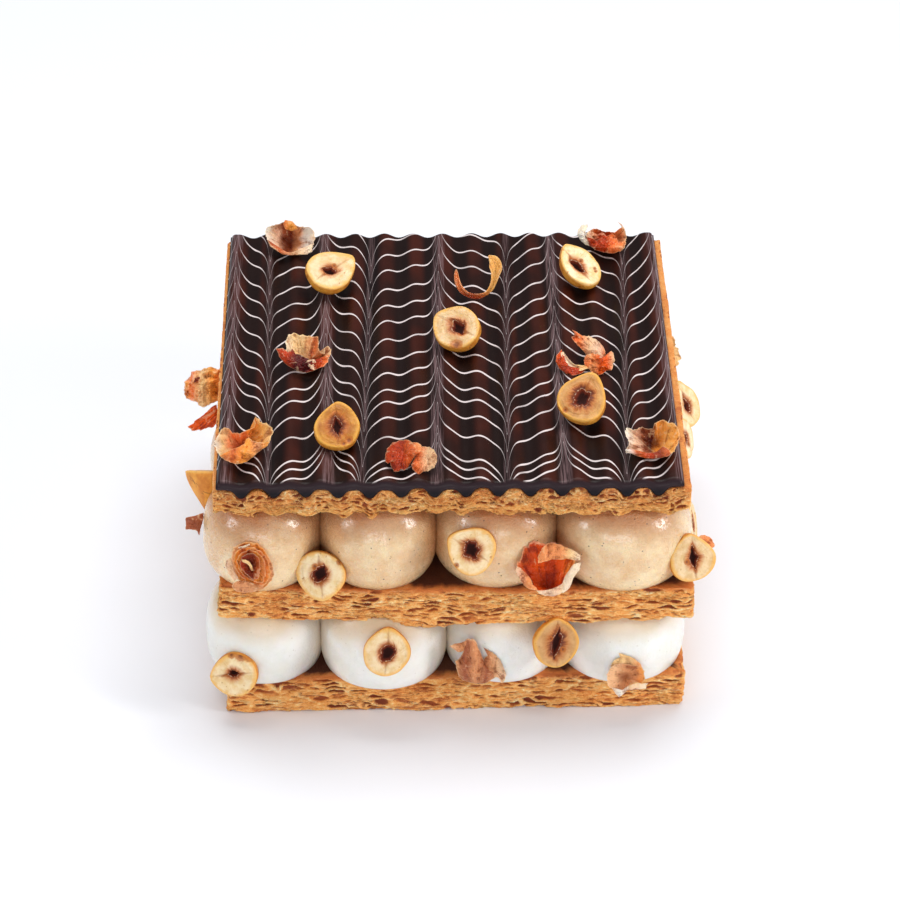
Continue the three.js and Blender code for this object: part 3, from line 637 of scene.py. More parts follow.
def glaze_finish():
    """Dark chocolate with feathered icing. A line of icing at y0 is seen where y less the combs'
    drag is y0. Each comb's drag is half its pull times the logarithm of
    1 + reach squared over (distance from the comb squared + a little)."""
    finish = Finish("feathered_chocolate")
    place = finish.place()
    x, y, z = finish.parts(place)
    x = x - TOP_SHIFT
    wander = finish.noise(place, 0.045, 2, 0.5) - 0.5
    flutter = finish.noise(place, 0.25, 2, 0.5) - 0.5
    towards_front = (GLAZE_FRONT + GLAZE_DEPTH - y) / GLAZE_DEPTH
    drag, haze, shade, calm = 0.0, 0.0, 0.0, 1.0
    for back, front, sign in COMBS:
        track = back + (front - back) * towards_front
        away = x - track + 0.5 * wander
        squared = away * away
        drag = drag + sign * COMB_PULL * 0.5 * finish.math(
            "LOGARITHM", 1 + COMB_REACH ** 2 / (squared + 0.05), math.e)
        calm = calm * finish.step(squared, 0.0, 9.0)
        if sign > 0:
            haze = haze + finish.step(squared, 4.5, 0.0)
        else:
            shade = shade + finish.step(squared, 5.0, 0.0)
            haze = haze + 0.6 * finish.step(squared, 1.4, 0.0)
    swell = finish.sine(2 * math.pi / 28 * (x + 63)) + 1
    left_swell = 1.9 * swell * finish.step(x, -14, -24)
    drawn = y - drag - left_swell + 1.6 * wander + 0.5 * flutter
    nearest = abs(drawn - ICING_LINES[0])
    for line in ICING_LINES[1:]:
        nearest = finish.least(nearest, abs(drawn - line))
    width = 0.27 + 0.3 * flutter + 0.08 * calm
    icing = finish.step(nearest, width + 0.14, width - 0.12)
    fade = finish.step(finish.noise(place, 0.11, 2, 0.5), 0.2, 0.45)
    icing = icing * (0.5 + 0.5 * fade) * (0.45 + 0.55 * calm)
    streaks = finish.noise(finish.scaled(place, (3.4, 0.07, 0.3)), 1.0, 3, 0.65)
    haze = finish.least(haze, 1.0) * finish.step(streaks, 0.38, 0.66)
    # Painted reflection: a redder brown along each crest of the wave, with the troughs left dark.
    ripple = finish.sine(2 * math.pi / WAVE_PITCH * (x + 1.5))
    cloud = finish.step(finish.noise(place, 0.05, 2, 0.5), 0.36, 0.66)
    icing = icing * finish.step(y, GLAZE_FRONT + 0.4, GLAZE_FRONT + 1.3)
    # The front face is lighter along its top, a painted sheen, and darker towards its bottom.
    face = finish.blend(finish.step(z, GLAZE_TOP - 1.2, GLAZE_TOP - 3.6), "2e2226", "0e0a12")
    base = finish.layered(
        "190b09",
        (finish.step(ripple, -0.7, 0.9), "3e180f"),
        (cloud * 0.8, "1e0e0b"),
        (finish.least(shade, 1.0) * 0.7, "120a0a"),
        (haze * 0.8, "7e6466"),
        (icing, "e2d6d5"),
        (finish.step(y, GLAZE_FRONT + 0.9, GLAZE_FRONT + 0.2), face))
    normal = finish.bump(icing + 0.3 * haze, 0.05, 0.5)
    normal = finish.bump(finish.noise(place, 0.35, 2, 0.5), 0.2, 0.3, normal)
    return finish.surface(base, 0.34 + 0.12 * flutter, normal, specular_ior_level=0.12)


# Cream

# Each layer: its floor and ceiling, how far up a ball is widest, how far over that its crown
# would close, and the share of its width at its foot. lefts and rights are its limits in each row
# from the front, fronts and backs in each column from the left, and the creases are where the
# balls meet.
CREAMS = {
    "white": {
        "floor": BASE_TOP, "ceiling": MIDDLE_UNDERSIDE, "widest": 8.5, "crown": 18.0, "foot": 0.94,
        "lefts": (-70, -68.6, -65.4, -65), "creases": (-37.5, -2.5, 29.6),
        "rights": (65.2, 64.6, 64, 64.4), "fronts": (-68, -71, -68, -68.6),
        "row_creases": (-34.6, -0.4, 33.8), "backs": (68.4, 69.6, 68.2, 69), "first_seed": 100,
    },
    "beige": {
        "floor": MIDDLE_TOP, "ceiling": TOP_SHEET_UNDERSIDE, "widest": 9.0, "crown": 18.0, "foot": 0.85,
        "lefts": (-69.8, -69, -65.6, -65.2), "creases": (-37.3, -5.3, 28.2),
        "rights": (65.5, 64.4, 65.2, 64.2), "fronts": (-68.6, -68.8, -68.2, -70.2),
        "row_creases": (-34.4, 0.2, 34), "backs": (69, 68.2, 69.4, 68), "first_seed": 116,
    },
}
BALLS = 4
LAST_BALL = BALLS - 1
# A pressed side reaches this share of the ball's radius, and its neighbour's plane lies this far
# past the crease
PRESSED = 0.96
SQUEEZE = 0.8
SOFTNESS = 0.9
FAR = 999
# How far the cream reaches into the sheet under it and the one over it
SUNK = 0.25
RAISED = 0.6
# Rings and sides of the balls that show, and of those that don't
SHOWN_GRID = (56, 112)
HIDDEN_GRID = (14, 40)


def pressed(value, low, high):
    """Values held between low and high: past a soft start inside each bound, they close in on it as
    an exponential does, so that a ball flattens softly against its neighbour."""
    start = high - SOFTNESS
    over = np.exp(-(np.maximum(value, start) - start) / SOFTNESS)
    value = np.where(value > start, high - SOFTNESS * over, value)
    start = low + SOFTNESS
    under = np.exp((np.minimum(value, start) - start) / SOFTNESS)
    return np.where(value < start, low + SOFTNESS * under, value)


def ball_span(low, creases, high, number):
    """The middle and radius of a ball along one axis, and the two planes it is pressed against,
    which are far off where it has no neighbour."""
    low = creases[number - 1] if number > 0 else low
    high = creases[number] if number < LAST_BALL else high
    radius = (high - low) / (1 + PRESSED if number in (0, LAST_BALL) else 2 * PRESSED)
    centre = {0: low + radius, LAST_BALL: high - radius}.get(number, (low + high) / 2)
    low_plane = low - SQUEEZE if number > 0 else -FAR
    high_plane = high + SQUEEZE if number < LAST_BALL else FAR
    return centre, radius, low_plane, high_plane


def cream_ball(layer, row, column):
    """A piped ball: a squashed ellipsoid, widest low down. At latitude a it reaches cos(a) of its
    radius; it is pressed flat against the balls next to it, tucks in under itself on a tighter
    curve, and has a slow unevenness."""
    seed = layer["first_seed"] + BALLS * row + column
    centre_x, radius_x, left, right = ball_span(
        layer["lefts"][row], layer["creases"], layer["rights"][row], column)
    centre_y, radius_y, front, back = ball_span(
        layer["fronts"][column], layer["row_creases"], layer["backs"][column], row)
    shown = row in (0, LAST_BALL) or column in (0, LAST_BALL)
    rings, sides = SHOWN_GRID if shown else HIDDEN_GRID
    floor, ceiling = layer["floor"] - SUNK, layer["ceiling"] + RAISED
    middle = layer["floor"] + layer["widest"]
    z = np.linspace(floor, ceiling, rings)[:, None]
    above = np.clip((z - middle) / layer["crown"], 0, 1)
    below = np.clip((middle - z) / layer["widest"], 0, 1.1)
    reach = np.sqrt(1 - above ** 2.8) * (1 - (1 - layer["foot"]) * below ** 3)
    angle = np.linspace(0, 2 * math.pi, sides, endpoint=False)[None, :]
    sway = 1 + 0.012 * noise(seed, angle * 4 + 0 * z, z + 0 * angle, 3, 7, 8 * math.pi)
    x = pressed(centre_x + radius_x * reach * sway * np.cos(angle), left, right)
    y = pressed(centre_y + radius_y * reach * sway * np.sin(angle), front, back)
    to_plane = np.minimum(np.minimum(x - left, right - x), np.minimum(y - front, back - y))
    # How near the side lies to a neighbour's plane, where the finish paints shade.
    crease = np.exp(-to_plane / 2.6)
    points = np.stack([x, y, z + 0 * angle], -1).reshape(-1, 3)
    ends = np.array([[centre_x, centre_y, floor], [centre_x, centre_y, ceiling]])
    lower, upper = np.arange(sides), (rings - 1) * sides + np.arange(sides)
    faces = [
        grid_faces(rings, sides, 0, True),
        fan_faces(lower, rings * sides)[:, ::-1],
        fan_faces(upper, rings * sides + 1),
    ]
    height = (points[:, 2] - layer["floor"]) / (layer["ceiling"] - layer["floor"])
    attributes = {"crease": np.append(crease.ravel(), [1, 1]), "rise": np.append(height, [0, 1])}
    return np.concatenate([points, ends]), faces, attributes


def cream_pieces(kind, material):
    """The front and back rows ball by ball, and the two inner rows each as one piece."""
    layer = CREAMS[kind]
    for row in range(BALLS):
        balls = [cream_ball(layer, row, column) for column in range(BALLS)]
        side = {0: "front", LAST_BALL: "back"}.get(row)
        if side is None:
            piece = make_piece(f"{kind}_balls_row_{row + 1}", material, *joined_parts(balls))
            settle(piece, f"{kind}_cream", f"{kind}_cream_row_{row + 1}")
            continue
        for number, ball in enumerate(balls, 1):
            piece = make_piece(f"{kind}_ball_{side}_{number}", material, *ball)
            settle(piece, f"{kind}_cream", f"{kind}_cream_{side}_{number}")


def cream_finish(name, pale, shade, painted_shade_tint, speck_tint, specks, gloss, broken):
    """Smooth cream with a soft sheen, mottled and finely pitted, with painted shade in a warmer tint
    towards the creases and the top, and specks of vanilla: the middles of scattered cells, some
    larger than others.
    broken says how far its sheen breaks up into patches."""
    finish = Finish(name)
    place = finish.place()
    cloud = finish.noise(place, 0.07, 2, 0.5)
    mottle = finish.noise(place, 0.22, 4, 0.7)
    # Painted shade: the cream turns a warmer brown towards the creases where the balls meet and towards
    # its top, under the pastry sheet above.
    upper = finish.step(finish.attribute("rise") + 0.25 * (cloud - 0.5), 0.55, 1.0)
    shadow = finish.least(0.8 * finish.attribute("crease") + 0.8 * upper, 0.95)
    from_middle = finish.node("ShaderNodeTexVoronoi", None, {"Vector": place, "Scale": 0.5})
    chosen = finish.step(finish.noise(place, 0.31, 1, 0.5), 0.42, 0.5)
    size = 0.05 + 0.1 * finish.noise(place, 0.17, 1, 0.5)
    speck = finish.step(from_middle, size + 0.02, size - 0.02) * chosen * specks
    base = finish.layered(
        pale,
        (finish.step(0.55 * cloud + 0.45 * mottle, 0.38, 0.64), shade),
        (shadow, painted_shade_tint),
        (speck, speck_tint))
    pits = finish.noise(place, 1.9, 3, 0.65)
    normal = finish.bump(pits, 0.12 + 0.6 * broken, 0.7)
    normal = finish.bump(finish.noise(place, 0.2, 3, 0.6), 1.0, 0.5, normal)
    shine = finish.step(0.45 * pits + 0.55 * finish.noise(place, 0.75, 2, 0.6), 0.42, 0.56)
    return finish.surface(
        base, gloss + 0.2 * (mottle - 0.5), normal, subsurface_weight=0.35,
        subsurface_radius=(1.0, 0.62, 0.34), subsurface_scale=0.003,
        coat_weight=0.55 + 0.5 * broken * (2 * shine - 1), coat_roughness=0.26,
        coat_ior=1.5 + 0.35 * broken)


# Hazelnuts

NUTS = {
    # size: width, length, thickness; turns: towards, rise, spin; hollow: width, length, lean,
    # squareness and the place of its middle; tone, 0 ivory and 1 tan; burn, how far the halo
    # reaches; pits: small brown marks, each at a place on the cut face with its radius
    "nut_top_1": ((12.8, 16.2, 6.8), (25, 66, 72), (3.0, 4.6, 60, 1.5, 0.2, -0.4), 0.22, 0.4,
                  ((-0.6, 1.9, 0.7),)),
    "nut_top_2": ((11, 14.6, 6.8), (26, 58, -16), (2.4, 6.6, -14, 1.5, -0.9, 0.6), 0.0, 0.25,
                  ((1.0, 1.2, 0.7), (3.0, -3.0, 0.5), (2.6, -3.8, 0.5))),
    "nut_top_3": ((13.4, 15, 7), (-30, 60, -78), (4.4, 5.4, 30, 1.5, 0.2, -0.6), 0.35, 0.55,
                  ((-0.9, -2.6, 0.9), (-4.6, -3.6, 1.8))),
    "nut_top_4": ((12.4, 13.8, 6.6), (0, 58, -4), (2.6, 6.4, 0, 1.5, 0.0, 0.2), 1.0, 1.0,
                  ((2.9, -4.3, 1.1), (1.4, -5.2, 0.8))),
    "nut_top_5": ((14, 14.6, 7), (-12, 56, 16), (3.9, 5.6, -4, 1.0, -0.1, 0.3), 0.85, 1.0,
                  ((-2.8, -5.0, 0.8),)),
    "nut_front_1": ((13.6, 13.8, 6.2), (-8, 28, 172), (4.2, 5.2, 40, 1.3, 0.0, -0.4), 0.05, 0.4,
                    ((-5.6, -3.4, 0.9), (1.4, -2.6, 0.8))),
    "nut_front_2": ((12.8, 14.2, 6), (0, 30, -56), (4.8, 5.2, 20, 1.3, 0.0, 0.2), 0.12, 0.5,
                    ((-5.6, 1.4, 0.7),)),
    "nut_front_3": ((12.6, 13.6, 6.4), (14, 26, 0), (2.6, 6.8, 0, 1.5, 0.4, 0.3), 0.3, 0.35,
                    ((-1.7, -0.5, 0.8),)),
    "nut_front_4": ((12.6, 14, 6), (-14, 14, -104), (2.2, 3.4, 10, 1.4, 0.4, 0.2), 0.08, 0.35,
                    ((5.6, -3.0, 1.5), (5.0, -5.4, 1.3), (6.2, -0.4, 1.0))),
    "nut_front_5": ((12.8, 13.8, 6), (-4, 30, 4), (4.4, 4.8, 45, 1.05, 0.2, -0.2), 0.15, 0.4, ()),
    "nut_front_6": ((12.4, 14.6, 6.6), (12, 22, 6), (2.8, 8.4, 14, 1.5, 0.1, 0.2), 0.75, 1.0,
                    ((-1.6, 1.6, 0.7), (1.9, -1.6, 0.8))),
    "nut_right_1": ((12.8, 13.6, 6.2), (62, 32, 10), (3.0, 4.6, 0, 1.4, 0.0, 0.0), 0.0, 0.35, ()),
    "nut_right_2": ((12.4, 13.4, 6), (76, 20, -12), (3.0, 4.6, 0, 1.4, 0.0, 0.0), 0.0, 0.3, ()),
    "nut_right_3": ((11.4, 12, 6), (80, 12, 20), (3.0, 4.6, 0, 1.4, 0.0, 0.0), 0.1, 0.3, ()),
    "nut_left_1": ((13.6, 12.4, 12), (178, 56, 84), (3.2, 5.0, 0, 1.4, 0.0, 0.0), 0.5, 0.4, ()),
    "nut_back_1": ((12.8, 13.8, 6.2), (176, 26, 30), (3.6, 5.0, 0, 1.4, 0.0, 0.0), 0.2, 0.4, ()),
    "nut_back_2": ((12.4, 13.6, 6.2), (190, 22, -20), (3.4, 5.0, 0, 1.4, 0.0, 0.0), 0.5, 0.6, ()),
}
FIRST_NUT_SEED = 400
HOLLOW_DEPTH = 1.6
NUT_SIDES = 120
# The hollow's wall and the back both begin this far under the cut
RIM_DROP = 0.3
# A nut thicker than this tapers to its back like a whole kernel's tip
TAPERING = 10
# How far some nuts and skins are moved as the camera sees them: right, up and nearer
MOVED = {
    "nut_left_1": (2.4, 3.4, 0), "nut_front_1": (0, -0.6, 0), "nut_front_5": (0, 0, 0.6),
    "nut_front_6": (0, -0.5, 0), "skin_front_2": (0, 0, 1.9), "skin_front_3": (0, 0, -1.6),
    "skin_front_4": (0, 0, -0.6), "skin_top_3": (0, 0, -3), "skin_top_5": (0, 0, -3.7),
    "skin_top_6": (0, 0, -1.3), "skin_top_8": (0, 0, -1), "skin_left_2": (-1.6, 0.6, 0),
    "skin_right_1": (0, 0, -7),
}


def facing(towards, rise, spin):
    """Rows of a turn that points a face at an azimuth, 0 to the front and 90 to the right, and
    `rise` degrees above level, with its tip turned clockwise by spin: across, tip and outwards."""
    azimuth, elevation, turn = np.radians([towards, rise, spin])
    level = np.array([math.sin(azimuth), -math.cos(azimuth), 0])
    outwards = level * math.cos(elevation) + [0, 0, math.sin(elevation)]
    up = [0, 0, math.cos(elevation)] - level * math.sin(elevation)
    right = np.cross(up, outwards)
    tip = up * math.cos(turn) + right * math.sin(turn)
    return np.stack([np.cross(tip, outwards), tip, outwards])


# Across, up and nearer, as the camera sees them
CAMERA_VIEW = facing(CAMERA_YAW, CAMERA_RISE, 0)


def hazelnut_half(seed, size, hollow, pits):
    """Half a hazelnut, cut face up. Rings run out from the bottom of its hollow: up the wall, over
    the face, over its sharp rim and down the back, whose scale at a share d of the thickness
    is (1 - d to the p) to the power 1.1 / p, p 2.3 for a round back and 1.2 for a tapering one. On
    the face a ring is a blend of the hollow's outline and the nut's, and each pit is a dent of
    exp(-distance squared / radius squared)."""
    width, length, thickness = size
    hollow_width, hollow_length, lean, squareness, shift_x, shift_y = hollow
    draw = np.random.default_rng(seed)
    back_power = 1.2 if thickness > TAPERING else 2.3
    angle = np.linspace(0, 2 * math.pi, NUT_SIDES, endpoint=False)
    sin, cos = np.sin(angle), np.cos(angle)
    rings, marks = [], []

    def add_ring(flat, height, mark):
        rings.append(np.column_stack([flat, np.broadcast_to(height, NUT_SIDES)]))
        marks.append(np.full(NUT_SIDES, mark))

    tip = np.maximum(0, sin) ** 3
    sway = 1 + 0.035 * np.sin(2 * angle + draw.uniform(0, 6))
    sway = sway + 0.028 * np.sin(3 * angle + draw.uniform(0, 6))
    sway = sway + 0.018 * round_noise(seed + 1, angle, 0.5)
    outer_x = width / 2 * cos * (0.99 - 0.05 * sin - 0.22 * tip) * sway
    outer_y = length / 2 * sin * (0.92 + 0.14 * tip) * sway
    outer = np.stack([outer_x, outer_y], -1)
    jag = 1 + 0.20 * round_noise(seed + 2, angle, 0.6)
    jag = jag + 0.12 * round_noise(seed + 3, angle, 0.22)
    opening_x = hollow_width / 2 * np.sign(cos) * np.abs(cos) ** squareness * jag
    opening_y = hollow_length / 2 * np.sign(sin) * np.abs(sin) ** squareness * jag
    turn = math.radians(lean)
    turned = np.array([[math.cos(turn), -math.sin(turn)], [math.sin(turn), math.cos(turn)]])
    inner = np.stack([opening_x, opening_y], -1) @ turned + [shift_x, shift_y]
    middle = inner.mean(0)
    for share in (0.3, 0.6, 0.8, 0.92):
        depth = HOLLOW_DEPTH * (1 - share ** 3) + RIM_DROP
        add_ring(middle + (inner - middle) * share, -depth, share - 1)
    for share in [*np.linspace(0, 0.97, 24), 1.0]:
        flat = inner * (1 - share) + outer * share
        dish = -0.3 * (1 - min(1, share / 0.3)) ** 2 - 0.15 * max(0, (share - 0.95) / 0.05)
        uneven = 0.15 * noise(seed + 7, flat[:, 0], flat[:, 1], 2.6, 2.6)
        uneven = uneven + 0.05 * noise(seed + 8, flat[:, 0], flat[:, 1], 0.8, 0.8)
        crease = flat[:, 0] - shift_x - 0.5 * np.sin(flat[:, 1] * 0.5 + seed)
        groove = 0.3 * np.exp(-(crease / 0.4) ** 2) * (1 - 0.6 * share)
        add_ring(flat, dish + uneven - groove, share)
    for share in np.linspace(0.08, 0.985, 16):
        swell = 1 + 0.05 * math.sin(math.pi * min(1, share * 1.5))
        back = outer * (1 - share ** back_power) ** (1.1 / back_power) * swell
        add_ring(back, -RIM_DROP - share * (thickness - RIM_DROP), 1 + share)
    count = len(rings)
    points = np.concatenate([*rings, [[*middle, -HOLLOW_DEPTH - RIM_DROP], [0, 0, -thickness]]])
    pit = np.zeros(len(points))
    for x, y, radius in pits:
        pit = np.maximum(pit, np.exp(-np.hypot(points[:, 0] - x, points[:, 1] - y) ** 2 / radius ** 2))
    points[:, 2] -= 0.45 * pit * (points[:, 2] > -0.7)
    faces = [
        grid_faces(count, NUT_SIDES, 0, True)[:, ::-1],
        fan_faces(np.arange(NUT_SIDES), len(points) - 2),
        fan_faces((count - 1) * NUT_SIDES + np.arange(NUT_SIDES), len(points) - 1)[:, ::-1],
    ]
    attributes = {
        "ring": np.concatenate([*marks, [-1.0, 2.0]]), "across": points[:, 0] - shift_x, "pit": pit,
        "turn_x": np.append(np.tile(cos, count), [0, 0]),
        "turn_y": np.append(np.tile(sin, count), [0, 0]),
    }
    return points, faces, attributes


def hazelnuts(material):
    """Each nut turned as NUTS says and put where its solid is."""
    for number, (node, (size, turns, hollow, tone, burn, pits)) in enumerate(NUTS.items()):
        points, faces, attributes = hazelnut_half(FIRST_NUT_SEED + 20 * number, size, hollow, pits)
        attributes["tone"] = np.full(len(points), tone)
        attributes["burn"] = np.full(len(points), burn)
        points = centred_on(points @ facing(*turns), node) + MOVED.get(node, (0, 0, 0)) @ CAMERA_VIEW
        piece = make_piece("half_" + node, material, points, faces, attributes)
        settle(piece, "hazelnut", node)


def hazelnut_finish():
    """An ivory cut face that turns golden at its rim, with an orange-brown halo round the hollow and
    round each pit, a brown hollow darkened deeper in by painted shade, a pale ragged lip, soft seams
    from the hollow to the tip and the foot, and a golden back with shreds of skin."""
    finish = Finish("hazelnut_kernel")
    place = finish.place()
    ring = finish.attribute("ring")
    across = finish.attribute("across")
    tone = finish.attribute("tone")
    burn = finish.attribute("burn")
    pit = finish.attribute("pit")
    ray = finish.joined(finish.attribute("turn_x"), finish.attribute("turn_y"), ring)
    cloud = finish.noise(place, 0.35, 3, 0.6)
    fine = finish.noise(place, 1.7, 3, 0.65)
    fibre = finish.noise(finish.scaled(ray, (7, 7, 1.2)), 1.0, 3, 0.6)
    tan = finish.blend(finish.step(cloud, 0.3, 0.7), "cc8e3a", "aa6826")
    reach, inner_reach = 0.18 + 0.42 * burn, 0.06 + 0.32 * burn
    wobble = ring + (0.25 + 0.35 * burn) * (fibre - 0.5) + 0.2 * (cloud - 0.5)
    seam_width = 0.16 + 0.5 * finish.step(ring, 0.7, 0.1)
    seam = finish.step(abs(across + 0.9 * (cloud - 0.5)), seam_width + 0.15, 0.04)
    seam = seam * finish.step(ring, 0.98, 0.6) * (0.35 + 0.5 * finish.step(ring, 0.6, 0.1))
    dent = finish.step(finish.noise(place, 0.8, 2, 0.5), 0.66, 0.72) * finish.step(ring, 0.3, 0.6)
    worn = pit + 0.45 * (fine - 0.5)
    # The hollow's wall is the kernel's brown at the cut and darkens to near black deeper in as painted
    # shade.
    wall = finish.blend(finish.step(ring, -0.06, -0.5), "7e3018", "34100a")
    lip = finish.step(abs(ring + 0.03), 0.06, 0.015) * finish.step(fine, 0.46, 0.56)
    face = finish.layered(
        "f8e4bc",
        (finish.step(cloud, 0.35, 0.7), "eccb90"),
        (tone, tan),
        (finish.step(ring + 0.3 * (cloud - 0.5), 0.74, 0.98) * 0.75, "ecb04a"),
        (finish.step(fibre, 0.5, 0.8) * 0.4, "cf8f48"),
        (finish.step(wobble, reach + 0.1, 0.03) * 0.95, "bc6018"),
        (finish.step(wobble, inner_reach, 0.02) * (0.4 + 0.5 * burn), "5a1e0c"),
        (seam, "a35a20"),
        (dent * 0.6, "b0702c"),
        (finish.step(worn, 0.15, 0.5) * 0.8, "b8661e"),
        (finish.step(worn, 0.6, 1.0) * 0.75, "6a2a10"),
        (finish.step(ring, 0.0, -0.03), wall),
        (lip * 0.8, "ecc9a4"))
    shreds = finish.step(finish.noise(finish.joined(across, ring * 5, 0.0), 0.42, 4, 0.65), 0.56, 0.62)
    back = finish.layered("e9a23c", (finish.step(cloud, 0.3, 0.7), "cc7a26"), (shreds * 0.7, "8c4519"))
    base = finish.blend(finish.step(ring, 1.0, 1.06), face, back)
    normal = finish.bump(fine + 0.5 * fibre, 0.16, 0.7)
    rough = finish.most(0.42 + 0.12 * fine, 0.95 * finish.step(ring, 0.0, -0.1))
    return finish.surface(
        base, rough, normal, subsurface_weight=0.2, subsurface_radius=(1.0, 0.6, 0.25),
        subsurface_scale=0.001, specular_ior_level=0.35)


# Hazelnut skins

def shell(size, walls, turns, tints, torn, pale, ribs=0.3, crumple=1.0):
    """A torn shell: half width, half length and depth; how many degrees its wall climbs to the
    right, tip, left and foot; towards, rise and spin of its opening; the colours of its outside and
    inside as they look; how deeply its rim is torn, how much of it is pale, how strong its ribs and
    its folds are."""
    return "shell", size, walls, turns, tints, torn, pale, ribs, crumple


def scrap(outline, hub, form, tints, pale, ribs, crumple):
    """A torn scrap as the camera sees it: places of its outline, right and up, clockwise; the hub
    its ribs fan out from; form: how far it swells towards the camera, how far it bends round an
    upright axis, how much it leans forwards for each millimetre up, and how near it lies; its
    colours as they look, from left to right; its shares of pale skin, ribs and folds."""
    return "scrap", outline, hub, form, tints, pale, ribs, crumple


# Colours of the skins, from pale to dark
CHALK = "fdf4e6"
CREAM = "f8dfc0"
SHELL = "ecc4a4"
STRAW = "f0c488"
GOLD = "fcb45c"
AMBER = "e8943e"
APRICOT = "e8935a"
ORANGE = "d8703c"
FLAME = "cc5018"
FAWN = "d0a47c"
TAN = "bc8056"
RUST = "b45a30"
BRICK = "a23814"
WALNUT = "8a4a30"
UMBER = "6e2c16"
COCOA = "4c1a10"

